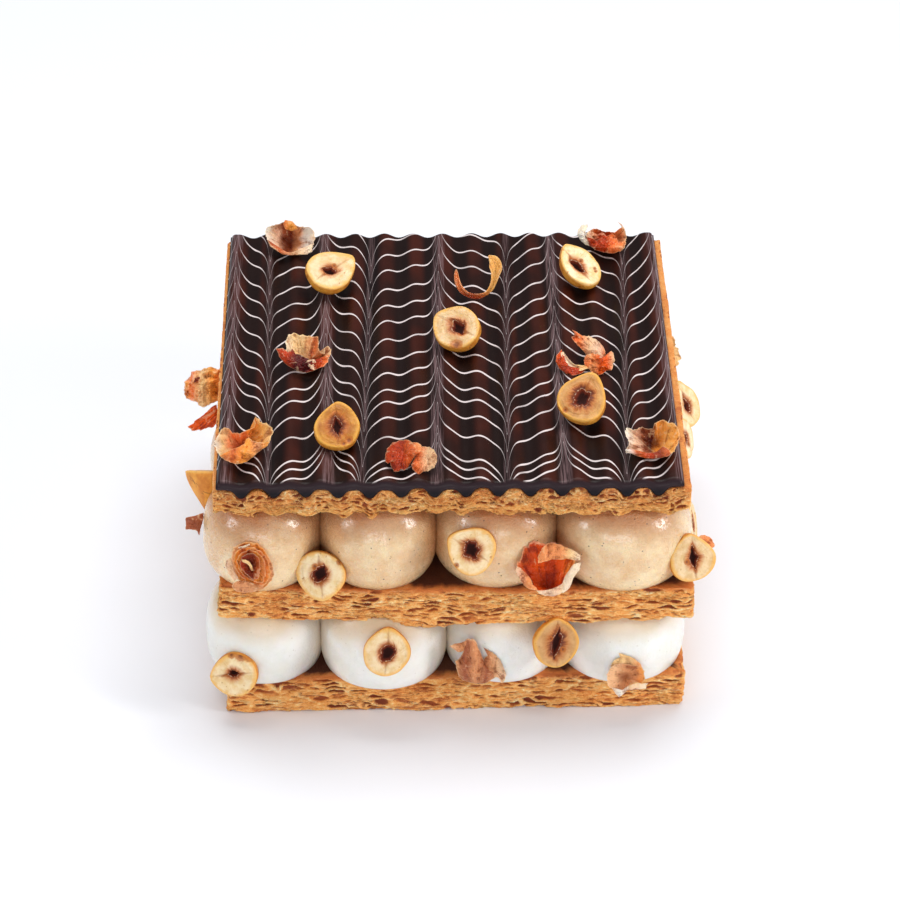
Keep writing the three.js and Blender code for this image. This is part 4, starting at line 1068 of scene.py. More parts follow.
SKINS = {
    "skin_top_1": (
        # Pale at its sides and dark brown in its middle: the dark brown is painted shade inside the bowl.
        scrap(
            ((-7.2, 1.2), (-6.8, 2.6), (-5.6, 3.8), (-4, 3.8), (-3, 4.2), (-1.4, 5.1), (0.6, 4.8),
             (2.2, 3.5), (4.2, 3.2), (6, 3.3), (7, 2.8), (7.6, 1), (7.6, -1), (7, -2.4), (6.6, -4.2),
             (5.4, -4.9), (3, -5), (0, -5.1), (-2, -4.9), (-3.6, -3.8), (-5.2, -2.6), (-6.4, -1)),
            (-0.2, -0.8), (-5.5, 0, -0.3, 0), (CHALK, SHELL, WALNUT, UMBER, TAN, CHALK, SHELL), 0.4, 0.6,
            0.7),
        scrap(
            ((-6.6, -0.6), (-5, -2), (-2.6, -3.9), (0, -4.5), (3, -4.4), (5.6, -3.9), (7.2, -1.6),
             (6.8, -4.2), (5.4, -5), (3, -5.2), (0, -5.3), (-2, -5), (-3.6, -4), (-5.4, -2.8)),
            (0, -4.9), (0.4, 0, -0.3, 0.4), (UMBER, RUST, FAWN, CREAM), 0.3, 0.3, 0.6),
        scrap(
            ((-1.9, 4.1), (-1.3, 5.3), (0.8, 4.9), (2, 3.6), (2.4, 2.6), (0.6, 2), (-1.2, 2.6)),
            (0.2, 3.6), (1, 0, -0.3, 0.8), (ORANGE, AMBER, AMBER), 0.3, 0.4, 1.0),
    ),
    "skin_top_2": (
        scrap(
            ((-5, 1.6), (-4, 2.4), (-2.4, 2.7), (-0.6, 2.1), (0.8, 1.8), (3.2, 1.4), (4.6, 2.6),
             (5.4, 3.1), (6.2, 2.4), (6.8, 0.6), (6.6, -1.4), (6, -3), (5, -4.2), (2.6, -4.8), (0, -4.6),
             (-2.6, -3.8), (-4.4, -2.2), (-5.2, 0)),
            (0.6, -1.6), (-4.5, 0, -0.4, 0), (SHELL, RUST, BRICK, BRICK, APRICOT, FAWN), 0.3, 0.4, 1.2),
        scrap(
            ((-3.4, 1.6), (-1.8, 0.8), (-0.4, 1.4), (0.8, 0.2), (2.4, 1.2), (3.4, 0.4), (3, -1.6),
             (0.6, -2.6), (-2.2, -2), (-3.8, -0.4)),
            (0.4, -0.8), (0.8, 0, -0.4, 1), (FAWN, BRICK, BRICK, ORANGE), 0.3, 0.4, 2.2),
        scrap(
            ((-5.3, 0.4), (-4.4, -0.6), (-3.6, -1.6), (-2.2, -1.2), (-0.6, -0.2), (0.4, -1), (1.6, 0),
             (2.6, -0.8), (3.6, -0.4), (4.4, -1.6), (5.4, -2), (6.6, -1), (6, -3), (5, -4.3), (2.6, -4.9),
             (0, -4.8), (-2.6, -4), (-4.4, -2.5)),
            (0.4, -3), (2, 2, -0.4, 1), (BRICK, BRICK, BRICK, ORANGE, APRICOT), 0.25, 0.4, 2.0),
        scrap(
            ((-7.8, 0.8), (-7.6, 2.4), (-6.4, 3.8), (-4.8, 4), (-4.6, 3.2), (-5.6, 2.6), (-5.2, 0.6),
             (-4.8, -1.2), (-4, -2.8), (-5.6, -2.2), (-7, -0.8)),
            (-6.2, 0.8), (0.8, 0, -0.4, -0.6), (CHALK, CHALK, CREAM), 0.8, 0.3, 0.6),
        scrap(
            ((6.6, 1.6), (6.2, 2.8), (5.4, 4), (4.1, 4.9), (5, 4), (5.6, 2.8)),
            (5.8, 3), (0.2, 0, -0.4, 0), (SHELL,), 0.3, 0.3, 0.5),
    ),
    "skin_top_3": (
        scrap(
            ((-5.2, 0.8), (-5.2, 3), (-4.9, 5.1), (-3, 5.4), (-1, 4.9), (1, 4.7), (3, 4.5), (3.9, 4.3),
             (3.9, 1.4), (4.6, 0), (5.8, -0.6), (6, 1.2), (6.7, 1.9), (7.6, 0.8), (7.4, -0.6), (7, -2.4),
             (5.6, -4), (3, -5), (0, -5.4), (-3, -4.4), (-5, -2)),
            (0.8, -2.4), (-3.5, 0, -0.5, 0), (CREAM, STRAW, STRAW, RUST, TAN, FAWN), 0.45, 1.0, 0.6),
        scrap(
            ((-7.9, 0.8), (-6.8, 1.1), (-5.8, 0.9), (-5.2, 0.2), (-5.5, -0.9), (-4.4, 0), (-3.2, 0.9),
             (-2.8, -0.6), (-1.4, -0.8), (0, -1.4), (1.6, -2.2), (0.6, -3), (2.6, -3), (3.4, -2.4),
             (4.6, -3), (5.4, -2), (6.6, -1.8), (7.5, -0.6), (7, -2.6), (5.6, -4.2), (3.6, -5.2), (1, -6),
             (-1.4, -5.7), (-3.6, -4.5), (-5.6, -3.1), (-7, -1.4)),
            (-0.6, -3.8), (1.6, 2, -0.4, 1), (BRICK, BRICK, COCOA, COCOA, BRICK, ORANGE), 0.12, 0.4, 1.6),
        scrap(
            ((0.4, -3), (1.4, -2.4), (3, -2.2), (3.6, -3), (3, -4), (3.2, -5.2), (2.2, -5), (1.2, -3.9)),
            (2, -3.4), (0.4, 0, -0.4, 4.2), (SHELL, SHELL), 0.7, 0.3, 1.4),
    ),
    "skin_top_5": (
        scrap(
            ((-3.2, 6.6), (-2, 6), (-0.6, 5.2), (1.4, 5), (3, 4.2), (4.6, 3), (5.6, 1.6), (6, 0),
             (5.8, -1.6), (4, -2.4), (2, -2), (0.6, -1), (0, 0.2), (-0.8, 1.2), (-2, 2.4), (-3, 3.6),
             (-3.6, 4.8), (-2.8, 5.4)),
            (2.6, 1), (2, 0, -0.7, 0), (FLAME, ORANGE, FAWN, SHELL, ORANGE), 0.5, 0.9, 1.6),
        scrap(
            ((-0.4, -2), (0.2, -0.6), (2, 0.2), (4, -0.2), (5.6, -0.8), (6.8, 0.2), (7.7, 0.9),
             (8.2, -0.6), (8.4, -2.2), (8, -3.4), (7.2, -4.8), (6, -4.9), (5, -5.8), (3.6, -6.4),
             (2.2, -5.8), (1, -4.6), (0, -3.6)),
            (4, -2.6), (2, 0, -0.7, 0.6), (FLAME, APRICOT, FLAME, FLAME, FAWN), 0.35, 0.9, 1.6),
        scrap(
            ((-6.6, 1.2), (-8, -0.6), (-8.2, -2.4), (-7.2, -4.4), (-5.4, -5.8), (-3.6, -6.4), (-1, -5.8),
             (0.4, -4.8), (-2, -4.4), (-4, -3.8), (-5.4, -2.2), (-6, -0.4))[::-1],
            (-6, -3.6), (1.4, 0, -0.7, 0), (FLAME, BRICK, BRICK, BRICK), 0.2, 0.3, 0.8),
        scrap(
            ((-6.9, 0.2), (-6.2, 0.6), (-5.4, -0.6), (-4.4, -1.9), (-3, -3.3), (-1, -3.9), (1, -3.6),
             (0.8, -4.4), (-1.4, -5), (-3.4, -4.8), (-5, -3.6), (-6.2, -2)),
            (-3.8, -3.2), (-0.6, 0, -0.7, 0.9), (SHELL, CREAM, STRAW, GOLD), 0.7, 0.3, 0.8),
    ),
    "skin_top_6": (
        scrap(
            ((-8, -1), (-7.4, 0.4), (-7, 2), (-6.4, 3.2), (-5.4, 3.6), (-4, 3.2), (-3.2, 2), (-1, 2),
             (1, 2.8), (3, 3.8), (3.4, 5), (2.8, 6.3), (3.9, 6.4), (4.6, 5.2), (6, 4.8), (7.4, 3.6),
             (7.9, 2), (7.6, 0.4), (6.4, -1), (4, -2.4), (1, -4), (-1, -5.4), (-3.6, -5.6), (-5.8, -4.8),
             (-7.6, -3)),
            (-0.6, -1.8), (-4.5, 0, -0.4, 0), (CHALK, STRAW, ORANGE, RUST, AMBER, GOLD, STRAW), 0.4, 0.5,
            1.0),
        scrap(
            ((-6.4, -4.2), (-5, -3.4), (-3.2, -2.4), (-1.2, -1.8), (0.6, -0.8), (0.8, 0.4), (1.6, 0.9),
             (2.4, 0.2), (4, -0.4), (6, -0.6), (7.4, -0.1), (6.6, -1.4), (4.6, -2.8), (2.6, -4.6),
             (1, -5.9), (-1, -6.4), (-3, -6.1), (-5, -5.3)),
            (0, -4), (1.8, 1.4, -0.4, 1.4), (AMBER, RUST, AMBER, TAN, AMBER), 0.25, 0.2, 1.6),
    ),
    "skin_top_7": (
        scrap(
            ((2.4, 1.8), (3.2, 2.8), (5, 2.7), (6.4, 2), (7.2, 0.6), (7.3, -0.8), (6.6, -2.8), (5, -3.8),
             (3.4, -3.9), (2.2, -4.9), (1.4, -4.2), (0.4, -3), (0, -2.2), (0.6, -1), (1.4, 0.4)),
            (4, -0.6), (3, 0, -0.8, 0), (BRICK, ORANGE, FAWN, FAWN), 0.45, 0.8, 0.6),
        scrap(
            ((-7, 0.4), (-6.6, 2.2), (-5, 3.8), (-3, 4.6), (-1, 4.5), (1, 4), (2.8, 3.2), (3.4, 2),
             (2.6, 1), (1.2, 0.2), (0.2, -1.4), (-0.6, -2.8), (-1.6, -3.8), (-2.6, -3.2), (-3.2, -3.9),
             (-4.4, -4), (-5.2, -2.8), (-5.6, -1.4), (-6.4, -2), (-7, -1.2)),
            (-2.2, 0.6), (3.6, 0, -0.8, 0.4), (BRICK, BRICK, BRICK, RUST, APRICOT), 0.2, 0.8, 0.6),
    ),
    "skin_top_8": (
        scrap(
            ((-7.6, 1.8), (-7.2, 3), (-6.2, 3), (-5.4, 2.4), (-4.2, 2.8), (-2.8, 3.4), (-1.2, 2.6),
             (0, 2.8), (0.5, 4.4), (2, 5), (3.2, 5.1), (4.6, 4.6), (6.2, 4.2), (7, 2.8), (7.3, 1),
             (6.8, -1), (6, -3), (4.6, -4.2), (2, -4.8), (0, -4.8), (-3, -4.4), (-5.4, -3.6), (-7.6, -3.2),
             (-6.6, -1.8), (-7, 0)),
            (0.4, -1.6), (-5, 0, -0.4, 0), (CHALK, SHELL, WALNUT, COCOA, AMBER, GOLD, AMBER), 0.45, 0.9,
            0.8),
        scrap(
            ((-7.6, -3), (-6.6, -2.6), (-5.4, -3.1), (-4, -3.5), (-2, -3.8), (0, -3.7), (1.4, -3.2),
             (2.6, -2), (3.6, -2.4), (4.6, -3.2), (5, -3.8), (4, -4.7), (2, -5.1), (0, -5.4), (-2, -5.3),
             (-4, -4.8), (-6, -4), (-7.4, -3.8)),
            (0, -4.4), (0.8, 1.4, -0.4, 0.8), (CHALK, RUST, BRICK, UMBER, RUST), 0.15, 0.3, 0.8),
    ),
    "skin_front_1": (
        scrap(
            ((-4.6, 3.2), (-3.6, 4.8), (-1.6, 5.6), (0.4, 5.8), (2.4, 5.4), (4, 4.2), (5.2, 2.6),
             (6.2, 0.6), (6.9, -1.2), (6.8, -3.2), (6.2, -4.8), (4.6, -6.4), (2.6, -6.9), (0, -6.4),
             (-2, -5.4), (-3.6, -3.6), (-4.4, -1), (-4.8, 1.4)),
            (1.2, -1), (-2.4, 0, 0.2, 0), (FAWN, AMBER, AMBER, AMBER, FAWN), 0.4, 0.2, 0.5),
        scrap(
            ((-4.1, 1.8), (-3.5, 3.2), (-2.2, 4.3), (-0.4, 4.6), (1.6, 4.4), (3.4, 3.4), (4.8, 1.8),
             (5.6, 0), (6, -1.8), (5.8, -3.6), (5, -5), (4, -6.2), (2, -6.1), (0, -5.2), (-1.8, -4),
             (-3.2, -2), (-4, 0)),
            (1, -0.8), (-2.4, 0, 0.2, 0.7), (AMBER, RUST, AMBER, APRICOT, AMBER), 0.35, 0.2, 0.6),
        scrap(
            ((-3.2, 1), (-2.6, 2.4), (-1.4, 3.3), (0.4, 3.8), (2.2, 3.4), (3.6, 2.2), (4.4, 0.4),
             (4.7, -1.6), (4.5, -3.4), (3.8, -5.2), (2.2, -5.2), (0.4, -4.4), (-1.4, -3.2), (-2.6, -1.4)),
            (0.9, -0.4), (-2.4, 0, 0.2, 1.4), (AMBER, RUST, RUST, AMBER, APRICOT), 0.25, 0.2, 0.8),
        scrap(
            ((-2.4, 0.4), (-1.6, 1.9), (-0.2, 2.9), (1.4, 3), (2.8, 1.8), (3.2, 0), (3.2, -2), (2.8, -4),
             (1.4, -4.4), (0, -3.4), (-1.2, -2.2), (-2.2, -1)),
            (0.9, -0.2), (-2, 0, 0.2, 2), (BRICK, UMBER, UMBER, RUST), 0.15, 0.2, 0.9),
        scrap(
            ((-1.9, 1.1), (-0.8, 1.2), (0.3, 0.6), (1, -0.4), (1.3, -1.8), (0.8, -1.9), (0.4, -0.7),
             (-0.4, 0.1), (-1.5, 0.5)),
            (0, 0.5), (0.2, 0, 0.2, 2.4), (STRAW, STRAW), 0.5, 0.2, 0.4),
        scrap(
            ((-2.9, 4.5), (-1.2, 4.9), (0.3, 5.5), (0.6, 5.1), (-0.8, 4.5), (-2.5, 4.1)),
            (-1, 4.8), (0.2, 0, 0.2, 0.7), (CREAM, CREAM), 0.7, 0.2, 0.3),
        scrap(
            ((-6.4, -0.6), (-6, 1), (-5, 1.5), (-4.2, 0.4), (-4, -1), (-3.6, -2.6), (-2.8, -4), (-4, -4.8),
             (-5.2, -3.2), (-6, -1.8)),
            (-4.8, -1.2), (0.8, 0, 0.2, -0.3), (SHELL, FAWN, SHELL), 0.5, 0.3, 0.6),
        scrap(
            ((-4.2, -5.4), (-2.8, -4.8), (-1.2, -4.7), (0.4, -5), (2, -5.6), (3.6, -6), (4.6, -6.7),
             (3, -7.3), (1, -7.8), (-1.4, -8), (-3.4, -7.6), (-4.6, -6.6)),
            (0.6, -6.4), (0.8, 0, 0.2, 0.5), (TAN, TAN, TAN, TAN), 0.4, 0.4, 0.7),
    ),
    "skin_front_2": (
        scrap(
            ((-8.5, 1), (-7.4, 3), (-6.6, 5), (-5, 6.8), (-3, 7), (-1, 6.7), (1.4, 6.5), (4.5, 5.6),
             (7, 4), (7.5, 1), (6.5, -2), (4.5, -5), (3, -7), (0, -7), (-4, -6), (-6.6, -4.6), (-8.4, -2)),
            (-0.6, -5.6), (-5, 0, 0, 0), (ORANGE, BRICK, FLAME, BRICK, FLAME, AMBER), 0.05, 1.3, 0.6),
        scrap(
            ((-2.8, 1.1), (-2.6, 3.4), (-1.8, 5.2), (-0.4, 6.4), (1.4, 6.6), (3.4, 6.1), (5.4, 5.3),
             (7.4, 4.4), (8.6, 3.2), (8.6, 2), (7, 2), (5, 2.4), (3.2, 2.1), (1.4, 2.2), (-0.6, 1.7)),
            (2.4, 4.4), (1.2, 0, 0.2, 0.8), (APRICOT, APRICOT, APRICOT, STRAW, CREAM), 0.35, 0.3, 0.8),
        scrap(
            ((8.9, 1.4), (7, 1), (6.2, 0), (5.4, -1.2), (4.6, -2.4), (4, -4), (3.6, -5.6), (3.4, -7.1),
             (4.6, -6.8), (5.6, -6), (6.4, -4.4), (6.8, -3), (7.8, -1.6), (8.6, -0.4))[::-1],
            (5.8, -2.6), (0.8, 0, 0.2, 1.5), (CREAM, CREAM, CREAM), 0.6, 0.1, 0.6),
        scrap(
            ((-8.6, 0.2), (-7.4, -0.4), (-6.2, -1.6), (-5, -2.8), (-4.4, -4), (-4.2, -5), (-3, -5.7),
             (-2.8, -6.4), (-5.2, -6), (-6.6, -5), (-7.6, -3.6), (-8.4, -2.2), (-8.9, -0.8)),
            (-6, -3.6), (0.8, 0, 0.2, 1.5), (SHELL, APRICOT, APRICOT), 0.4, 0.2, 1.0),
        scrap(
            ((-3.2, -6.4), (-1, -6.3), (1, -5.9), (3, -5), (3.9, -4.4), (3.8, -6), (3.4, -7.2),
             (1.4, -7.9), (-0.8, -7.8), (-2.4, -7.2)),
            (0.8, -6.8), (0.6, 0, 0.2, 2.4), (SHELL, SHELL, SHELL), 0.7, 0.3, 1.0),
    ),
    "skin_front_3": (
        scrap(
            ((1.6, 3.7), (3.6, 2.7), (5, 1.8), (6, 0.6), (6.8, -1), (7.6, -2.8), (7.9, -4.2), (7.4, -5.6),
             (6.6, -6.3), (6, -5), (4.6, -4.6), (2.6, -4), (1.6, -2), (1.4, 0.2), (2.2, 1.2), (3.6, 1.9),
             (2.8, 2.8)),
            (4.4, -1.4), (1, 0, 0.6, 0), (WALNUT, TAN, FAWN, SHELL), 0.35, 0.4, 0.9),
        scrap(
            ((-8.1, 4.2), (-6.6, 4.9), (-4.6, 5.2), (-3, 6), (-2.4, 4.6), (-3.4, 3.4), (-4.6, 2.5),
             (-5.8, 2.6), (-6.8, 3.4)),
            (-4.8, 4), (0.6, 0, 0.6, 0.3), (FAWN, TAN, TAN), 0.3, 0.3, 1.0),
        scrap(
            ((-4, 3.4), (-3.8, 5), (-3, 6.2), (-1.8, 6.4), (-0.8, 5.5), (0, 4), (0.8, 2.4), (1.3, 0.8),
             (1.8, -0.6), (3, -1.6), (4.6, -3), (5, -4.6), (3.6, -6), (2, -6.6), (0, -6.8), (-2, -6.4),
             (-4, -5.8), (-5.2, -4.6), (-5.6, -3.2), (-6.2, -1.6), (-6.2, -0.4), (-5.2, 0.8), (-4.4, 2)),
            (-1, -3.4), (1.6, 0, 0.6, 0.4), (TAN, WALNUT, TAN, WALNUT, TAN), 0.25, 0.4, 0.9),
    ),
    "skin_front_4": (
        scrap(
            ((-4.6, 2.2), (-3.6, 4.2), (-2, 5), (-2.4, 6.2), (0, 5.5), (2, 4.6), (3.8, 3.2), (4.9, 0.8),
             (3, 2.4), (0, 2.7), (-3, 2.6)),
            (0.4, 3.8), (0.8, 0, 0.5, 0), (STRAW, STRAW, APRICOT), 0.5, 0.2, 0.5),
        scrap(
            ((-5.6, 0), (-4.6, 1.9), (-3.4, 3), (-1.8, 3.4), (0, 3.1), (2, 2.6), (4, 2.6), (4.8, 1),
             (5.2, -1), (4.2, -2.4), (3, -2), (1.4, -2.4), (0, -3.6), (-1, -4.6), (-2, -5), (-3, -4.8),
             (-3.6, -4), (-4.9, -3.6), (-5.5, -2.2)),
            (-0.6, -0.8), (-2.6, 0, 0.4, 1.5), (FAWN, FAWN, TAN, TAN, AMBER), 0.3, 0.15, 0.4),
        scrap(
            ((-4.2, -3.6), (-3.2, -3.8), (-2.4, -4.2), (-1.4, -4.6), (-0.4, -4), (0.6, -3), (2, -2.4),
             (3.6, -2.2), (4.6, -2.6), (5.2, -2.2), (5.9, -2.4), (5.4, -3.9), (4.2, -3.6), (3, -3.2),
             (1.4, -3.4), (0, -4.6), (-1, -5.6), (-2, -6.4), (-3, -5.4)),
            (-1.2, -4.4), (0.6, 0, 0.4, 1.8), (SHELL, CHALK, FAWN, SHELL, CREAM), 0.8, 0.1, 0.5),
    ),
    "skin_left_1": (
        scrap(
            ((-4.2, -1), (-3.8, 1.2), (-2.4, 2.6), (-2, 3.6), (0, 4.2), (2, 4.8), (3, 5.1), (4.6, 4.8),
             (6.4, 4.4), (7, 2), (6.4, 0), (6, -2), (5.6, -4.4), (4, -5), (2.6, -5.8), (1.2, -6.3),
             (0, -5.8), (-0.2, -4.8), (-2, -4.4), (-3.4, -3.8), (-4, -2.8)),
            (1.4, -0.4), (3.5, 0, 0, 0), (AMBER, ORANGE, STRAW, AMBER, ORANGE), 0.45, 0.2, 3.0),
        # A small dark brown scrap laid over the crumpled skin: painted shade in a hollow of its folds.
        scrap(
            ((-1.9, 1), (-0.6, 1.9), (0.9, 2.4), (0.8, 1.4), (-0.8, 0.7)),
            (-0.4, 1.4), (0.2, 0, 0, 3.4), (UMBER, UMBER), 0, 0.1, 0.8),
    ),
    "skin_left_2": (
        scrap(
            ((-5.9, -1.7), (-4.6, -1.2), (-3.8, 0), (-2.4, 0.8), (-1, 2), (0.2, 3.2), (1, 4), (2.4, 4.6),
             (2.8, 2), (2.6, -0.2), (1.6, -1.8), (0, -1.9), (-2, -2.6), (-4, -2.9), (-5.2, -2.2)),
            (1.6, 2.2), (0.4, 0, 0, 0), (FLAME, FLAME, FLAME, FLAME), 0.05, 2.2, 0.3),
    ),
    "skin_left_3": (
        scrap(
            ((-2.5, 1.8), (-2, 2.1), (-0.1, 2.4), (0.8, 2.7), (2.5, 3.3), (2.3, 1.5), (1.8, -0.2),
             (1.2, -3.1), (0.7, -1.9), (-0.1, -1.5), (-2.6, -1.4)),
            (0.4, 0.4), (0.6, 0, 0, 0), (WALNUT, WALNUT, WALNUT), 0.2, 0.3, 0.7),
    ),
    "skin_right_1": (
        shell((3.4, 2.8, 1.4), (60, 60, 60, 60), (180, -50, 10), (APRICOT, TAN), 0.1, 0.4),
    ),
    "skin_right_2": (
        shell((6.0, 4.8, 3.6), (80, 80, 80, 70), (60, 24, 80), (AMBER, STRAW), 0.2, 0.4, 0.8),
    ),
    "skin_back_1": (
        shell((7.2, 5.8, 4.6), (84, 84, 84, 74), (184, 26, 20), (FLAME, FAWN), 0.2, 0.4, 0.8),
    ),
    "skin_back_2": (
        shell((6.6, 5.8, 4.2), (84, 84, 84, 74), (172, 24, -30), (ORANGE, AMBER), 0.2, 0.4, 0.8),
    ),
}
FIRST_SKIN_SEED = 700
PEEL_SEED = 680
SKIN_RINGS = 24
SKIN_SIDES = 112
SKIN_THICKNESS = 0.2
PEEL_THICKNESS = 0.3
# A thin skin lets some light through, so it is made this much brighter than it looks
SKIN_LIFT = 1.5
# The white that its sheen adds is taken off first
SHEEN = 0.01


def thin_sheet(surface, faces, rim, rings, sides, thickness):
    """Closes a surface, a middle point and rings round it, into a thin sheet: the same surface
    moved both ways along its normals, thinner at the rim, and joined there."""
    normals = np.zeros_like(surface)
    for block in faces:
        corner = surface[block]
        normal = np.cross(corner[:, 1] - corner[:, 0], corner[:, 2] - corner[:, 0])
        np.add.at(normals, block.ravel(), np.repeat(normal, block.shape[1], axis=0))
    normals /= np.linalg.norm(normals, axis=1)[:, None] + 1e-12
    half = thickness / 2 * (1 - 0.75 * smooth_step((rim - 0.6) / 0.4))[:, None]
    points = np.concatenate([surface + normals * half, surface - normals * half])
    under = len(surface)
    last = 1 + (rings - 1) * sides + np.arange(sides)
    ahead = np.roll(last, -1)
    joined = [*faces, *(block[:, ::-1] + under for block in faces)]
    joined.append(np.stack([last, last + under, ahead + under, ahead], -1))
    return points, joined


def skin_sheet(surface, fold, rim, cos, sin, thickness, front, back, hollow, pale, ribs):
    """A thin sheet from a middle point and rings, with what its finish reads: the colour of each
    face, the way to the rim, the direction and the shares of pale skin and ribs. The front is the
    face that turns to the way the rings are laid out; hollow says that it is the inside."""
    faces = [
        fan_faces(1 + np.arange(SKIN_SIDES), 0),
        grid_faces(SKIN_RINGS, SKIN_SIDES, 1, True)[:, ::-1],
    ]
    points, faces = thin_sheet(surface, faces, rim, SKIN_RINGS, SKIN_SIDES, thickness)
    tint = np.concatenate([front, back])
    tint = np.maximum(tint - SHEEN, 0.002) * np.minimum(SKIN_LIFT, 0.94 / tint.max(1, keepdims=True))
    attributes = {
        "tint": tint,
        "inside": np.repeat([float(hollow), 0.0], len(rim)), "fold": np.concatenate([fold, -fold]),
        "rim": np.tile(rim, 2), "turn_x": np.tile(cos, 2), "turn_y": np.tile(sin, 2),
        "pale": np.full(2 * len(rim), pale), "ribs": np.full(2 * len(rim), ribs),
    }
    return points, faces, attributes


def ring_places():
    """The share of the way to the rim and the direction of each point of a ringed surface."""
    angle = np.linspace(0, 2 * math.pi, SKIN_SIDES, endpoint=False)
    rim = np.repeat(np.linspace(0, 1, SKIN_RINGS + 1)[1:], SKIN_SIDES)
    cos, sin = np.tile(np.cos(angle), SKIN_RINGS), np.tile(np.sin(angle), SKIN_RINGS)
    return (np.append(0.0, part) for part in (rim, cos, sin))


def creased(seed, x, y, cell):
    """Folds like those of crumpled paper: 0.6 less twice the size of a noise."""
    return 0.6 - 2 * np.abs(noise(seed, x, y, cell, cell))


def skin_shell(seed, size, walls, torn, crumple):
    """A torn shell that opens upwards. At the share r of the way to the rim, in the direction a,
    its angle from the foot is r times the wall's, which blends from side to side as the squares of
    the cosine and sine of a. Noise tears the rim, and folds and pleats move the sheet in and out."""
    rim, cos, sin = ring_places()
    angle = np.arctan2(sin, cos) % (2 * math.pi)
    right, tip, left, foot = walls
    climb = np.where(cos > 0, right, left) * cos ** 2 + np.where(sin > 0, tip, foot) * sin ** 2
    tears = round_noise(seed, angle, 0.42) + 0.8 * round_noise(seed + 1, angle, 0.15)
    bites = smooth_step((round_noise(seed + 2, angle, 0.7) - 0.3) / 0.25)
    polar = rim * np.radians(climb) * (1 - torn * (0.3 + 0.45 * tears + 0.9 * bites))
    flat_x, flat_y = polar * cos, polar * sin
    fold = creased(seed + 4, flat_x, flat_y, 0.7) + 0.5 * creased(seed + 5, flat_x, flat_y, 0.32)
    pleat = noise(seed + 8, angle, rim, 0.4, 0.8, 2 * math.pi) * rim ** 2
    scale = 1 + crumple * (0.085 * fold + 0.10 * pleat) * smooth_step(rim / 0.3)
    surface = np.stack([
        size[0] * scale * np.sin(polar) * cos, size[1] * scale * np.sin(polar) * sin,
        -size[2] * scale * np.cos(polar)], -1)
    return surface, fold + pleat, rim, cos, sin


def skin_scrap(seed, outline, hub, form, crumple):
    """A torn scrap. A ring at the share r is its hub and r of the way from there to the outline, and
    its swell towards the camera is swell (1 - r squared) + bend (1 - u squared) + lean times how far
    up it is, u being the share of its half width, with folds."""
    swell, bend, lean, near = form
    rim, cos, sin = ring_places()
    corners = np.array([*outline, outline[0]], float)
    lengths = np.concatenate([[0], np.cumsum(np.hypot(*np.diff(corners, axis=0).T))])
    around = np.linspace(0, lengths[-1], SKIN_SIDES, endpoint=False)[::-1]
    teeth = 1 + 0.03 * noise(seed, around, 0 * around, 1.0, 1)
    teeth = teeth + 0.03 * noise(seed + 1, around, 0 * around, 0.4, 1)
    edge = np.stack([np.interp(around, lengths, corners[:, axis]) for axis in (0, 1)], -1)
    spokes = (edge - hub) * teeth[:, None]
    spokes = np.concatenate([[[0, 0]], np.tile(spokes, (SKIN_RINGS, 1))])
    flat = hub + spokes * rim[:, None]
    x, y = flat.T
    fold = creased(seed + 4, x, y, 2.4) + 0.5 * creased(seed + 5, x, y, 1.0)
    fold = fold + 0.35 * creased(seed + 7, x, y, 0.6)
    ripple = noise(seed + 6, x, y, 1.6, 1.6) * rim ** 2
    left, right = corners[:, 0].min(), corners[:, 0].max()
    sideways = (2 * x - left - right) / (right - left)
    height = swell * (1 - rim ** 2) + bend * (1 - sideways ** 2) + lean * y + near
    height = height + crumple * (0.42 * fold + 0.5 * ripple)
    ray = flat - hub - 1.6 * (np.array(hub) - corners.mean(0))
    ray = ray / (np.hypot(*ray.T)[:, None] + 1e-9)
    return np.column_stack([flat, height]), fold + ripple, rim, ray[:, 0], ray[:, 1]


PEEL_PATH = (
    # places of the hooked peel's middle line from its left end to its right, right and up
    (-6.3, 2.6), (-6.3, -0.6), (-5.0, -3.9), (-2.6, -6.0), (0.6, -6.4), (3.6, -5.2), (5.2, -2.4),
    (5.2, 1.0), (5.4, 4.0), (4.6, 6.2), (2.0, 6.7),
)
PEEL_WIDTHS = (0.3, 0.9, 1.2, 1.0, 0.8, 1.0, 1.5, 1.8, 1.9, 1.5, 0.3)
PEEL_TURNS = (-8, 50, 0)


def skin_peel(seed):
    """A narrow strip bent to a hook, laid out on the same rings as the shells: r cos(a) runs along
    its middle line, r sin(a) across it. Across is tilted out of the hook's plane, most at its foot."""
    rim, cos, sin = ring_places()
    along, across = rim * cos, rim * sin / np.sqrt(1.03 - (rim * cos) ** 2)
    place = (along + 1) / 2 * (len(PEEL_PATH) - 1)
    knots = np.arange(len(PEEL_PATH))
    spread = np.linspace(-0.9, 0.9, 7)

    def eased(values, at):
        return sum(np.interp(at + shift, knots, values) for shift in spread) / len(spread)

    path_x, path_y = np.array(PEEL_PATH).T
    x, y = eased(path_x, place), eased(path_y, place)
    ahead_x = eased(path_x, place + 0.2) - eased(path_x, place - 0.2)
    ahead_y = eased(path_y, place + 0.2) - eased(path_y, place - 0.2)
    length = np.hypot(ahead_x, ahead_y) + 1e-9
    width = eased(PEEL_WIDTHS, place) * (1 + 0.25 * noise(seed, place, 0 * place, 0.7, 1))
    tilt = np.radians(68 - 46 * smooth_step(np.abs(along) / 0.7))
    sideways = width * across * np.cos(tilt)
    ruffle = 0.22 * noise(seed + 1, place, across, 0.8, 0.7)
    surface = np.stack([
        x - sideways * ahead_y / length, y + sideways * ahead_x / length,
        width * across * np.sin(tilt) + ruffle], -1)
    return surface, ruffle * 3, rim, cos, sin


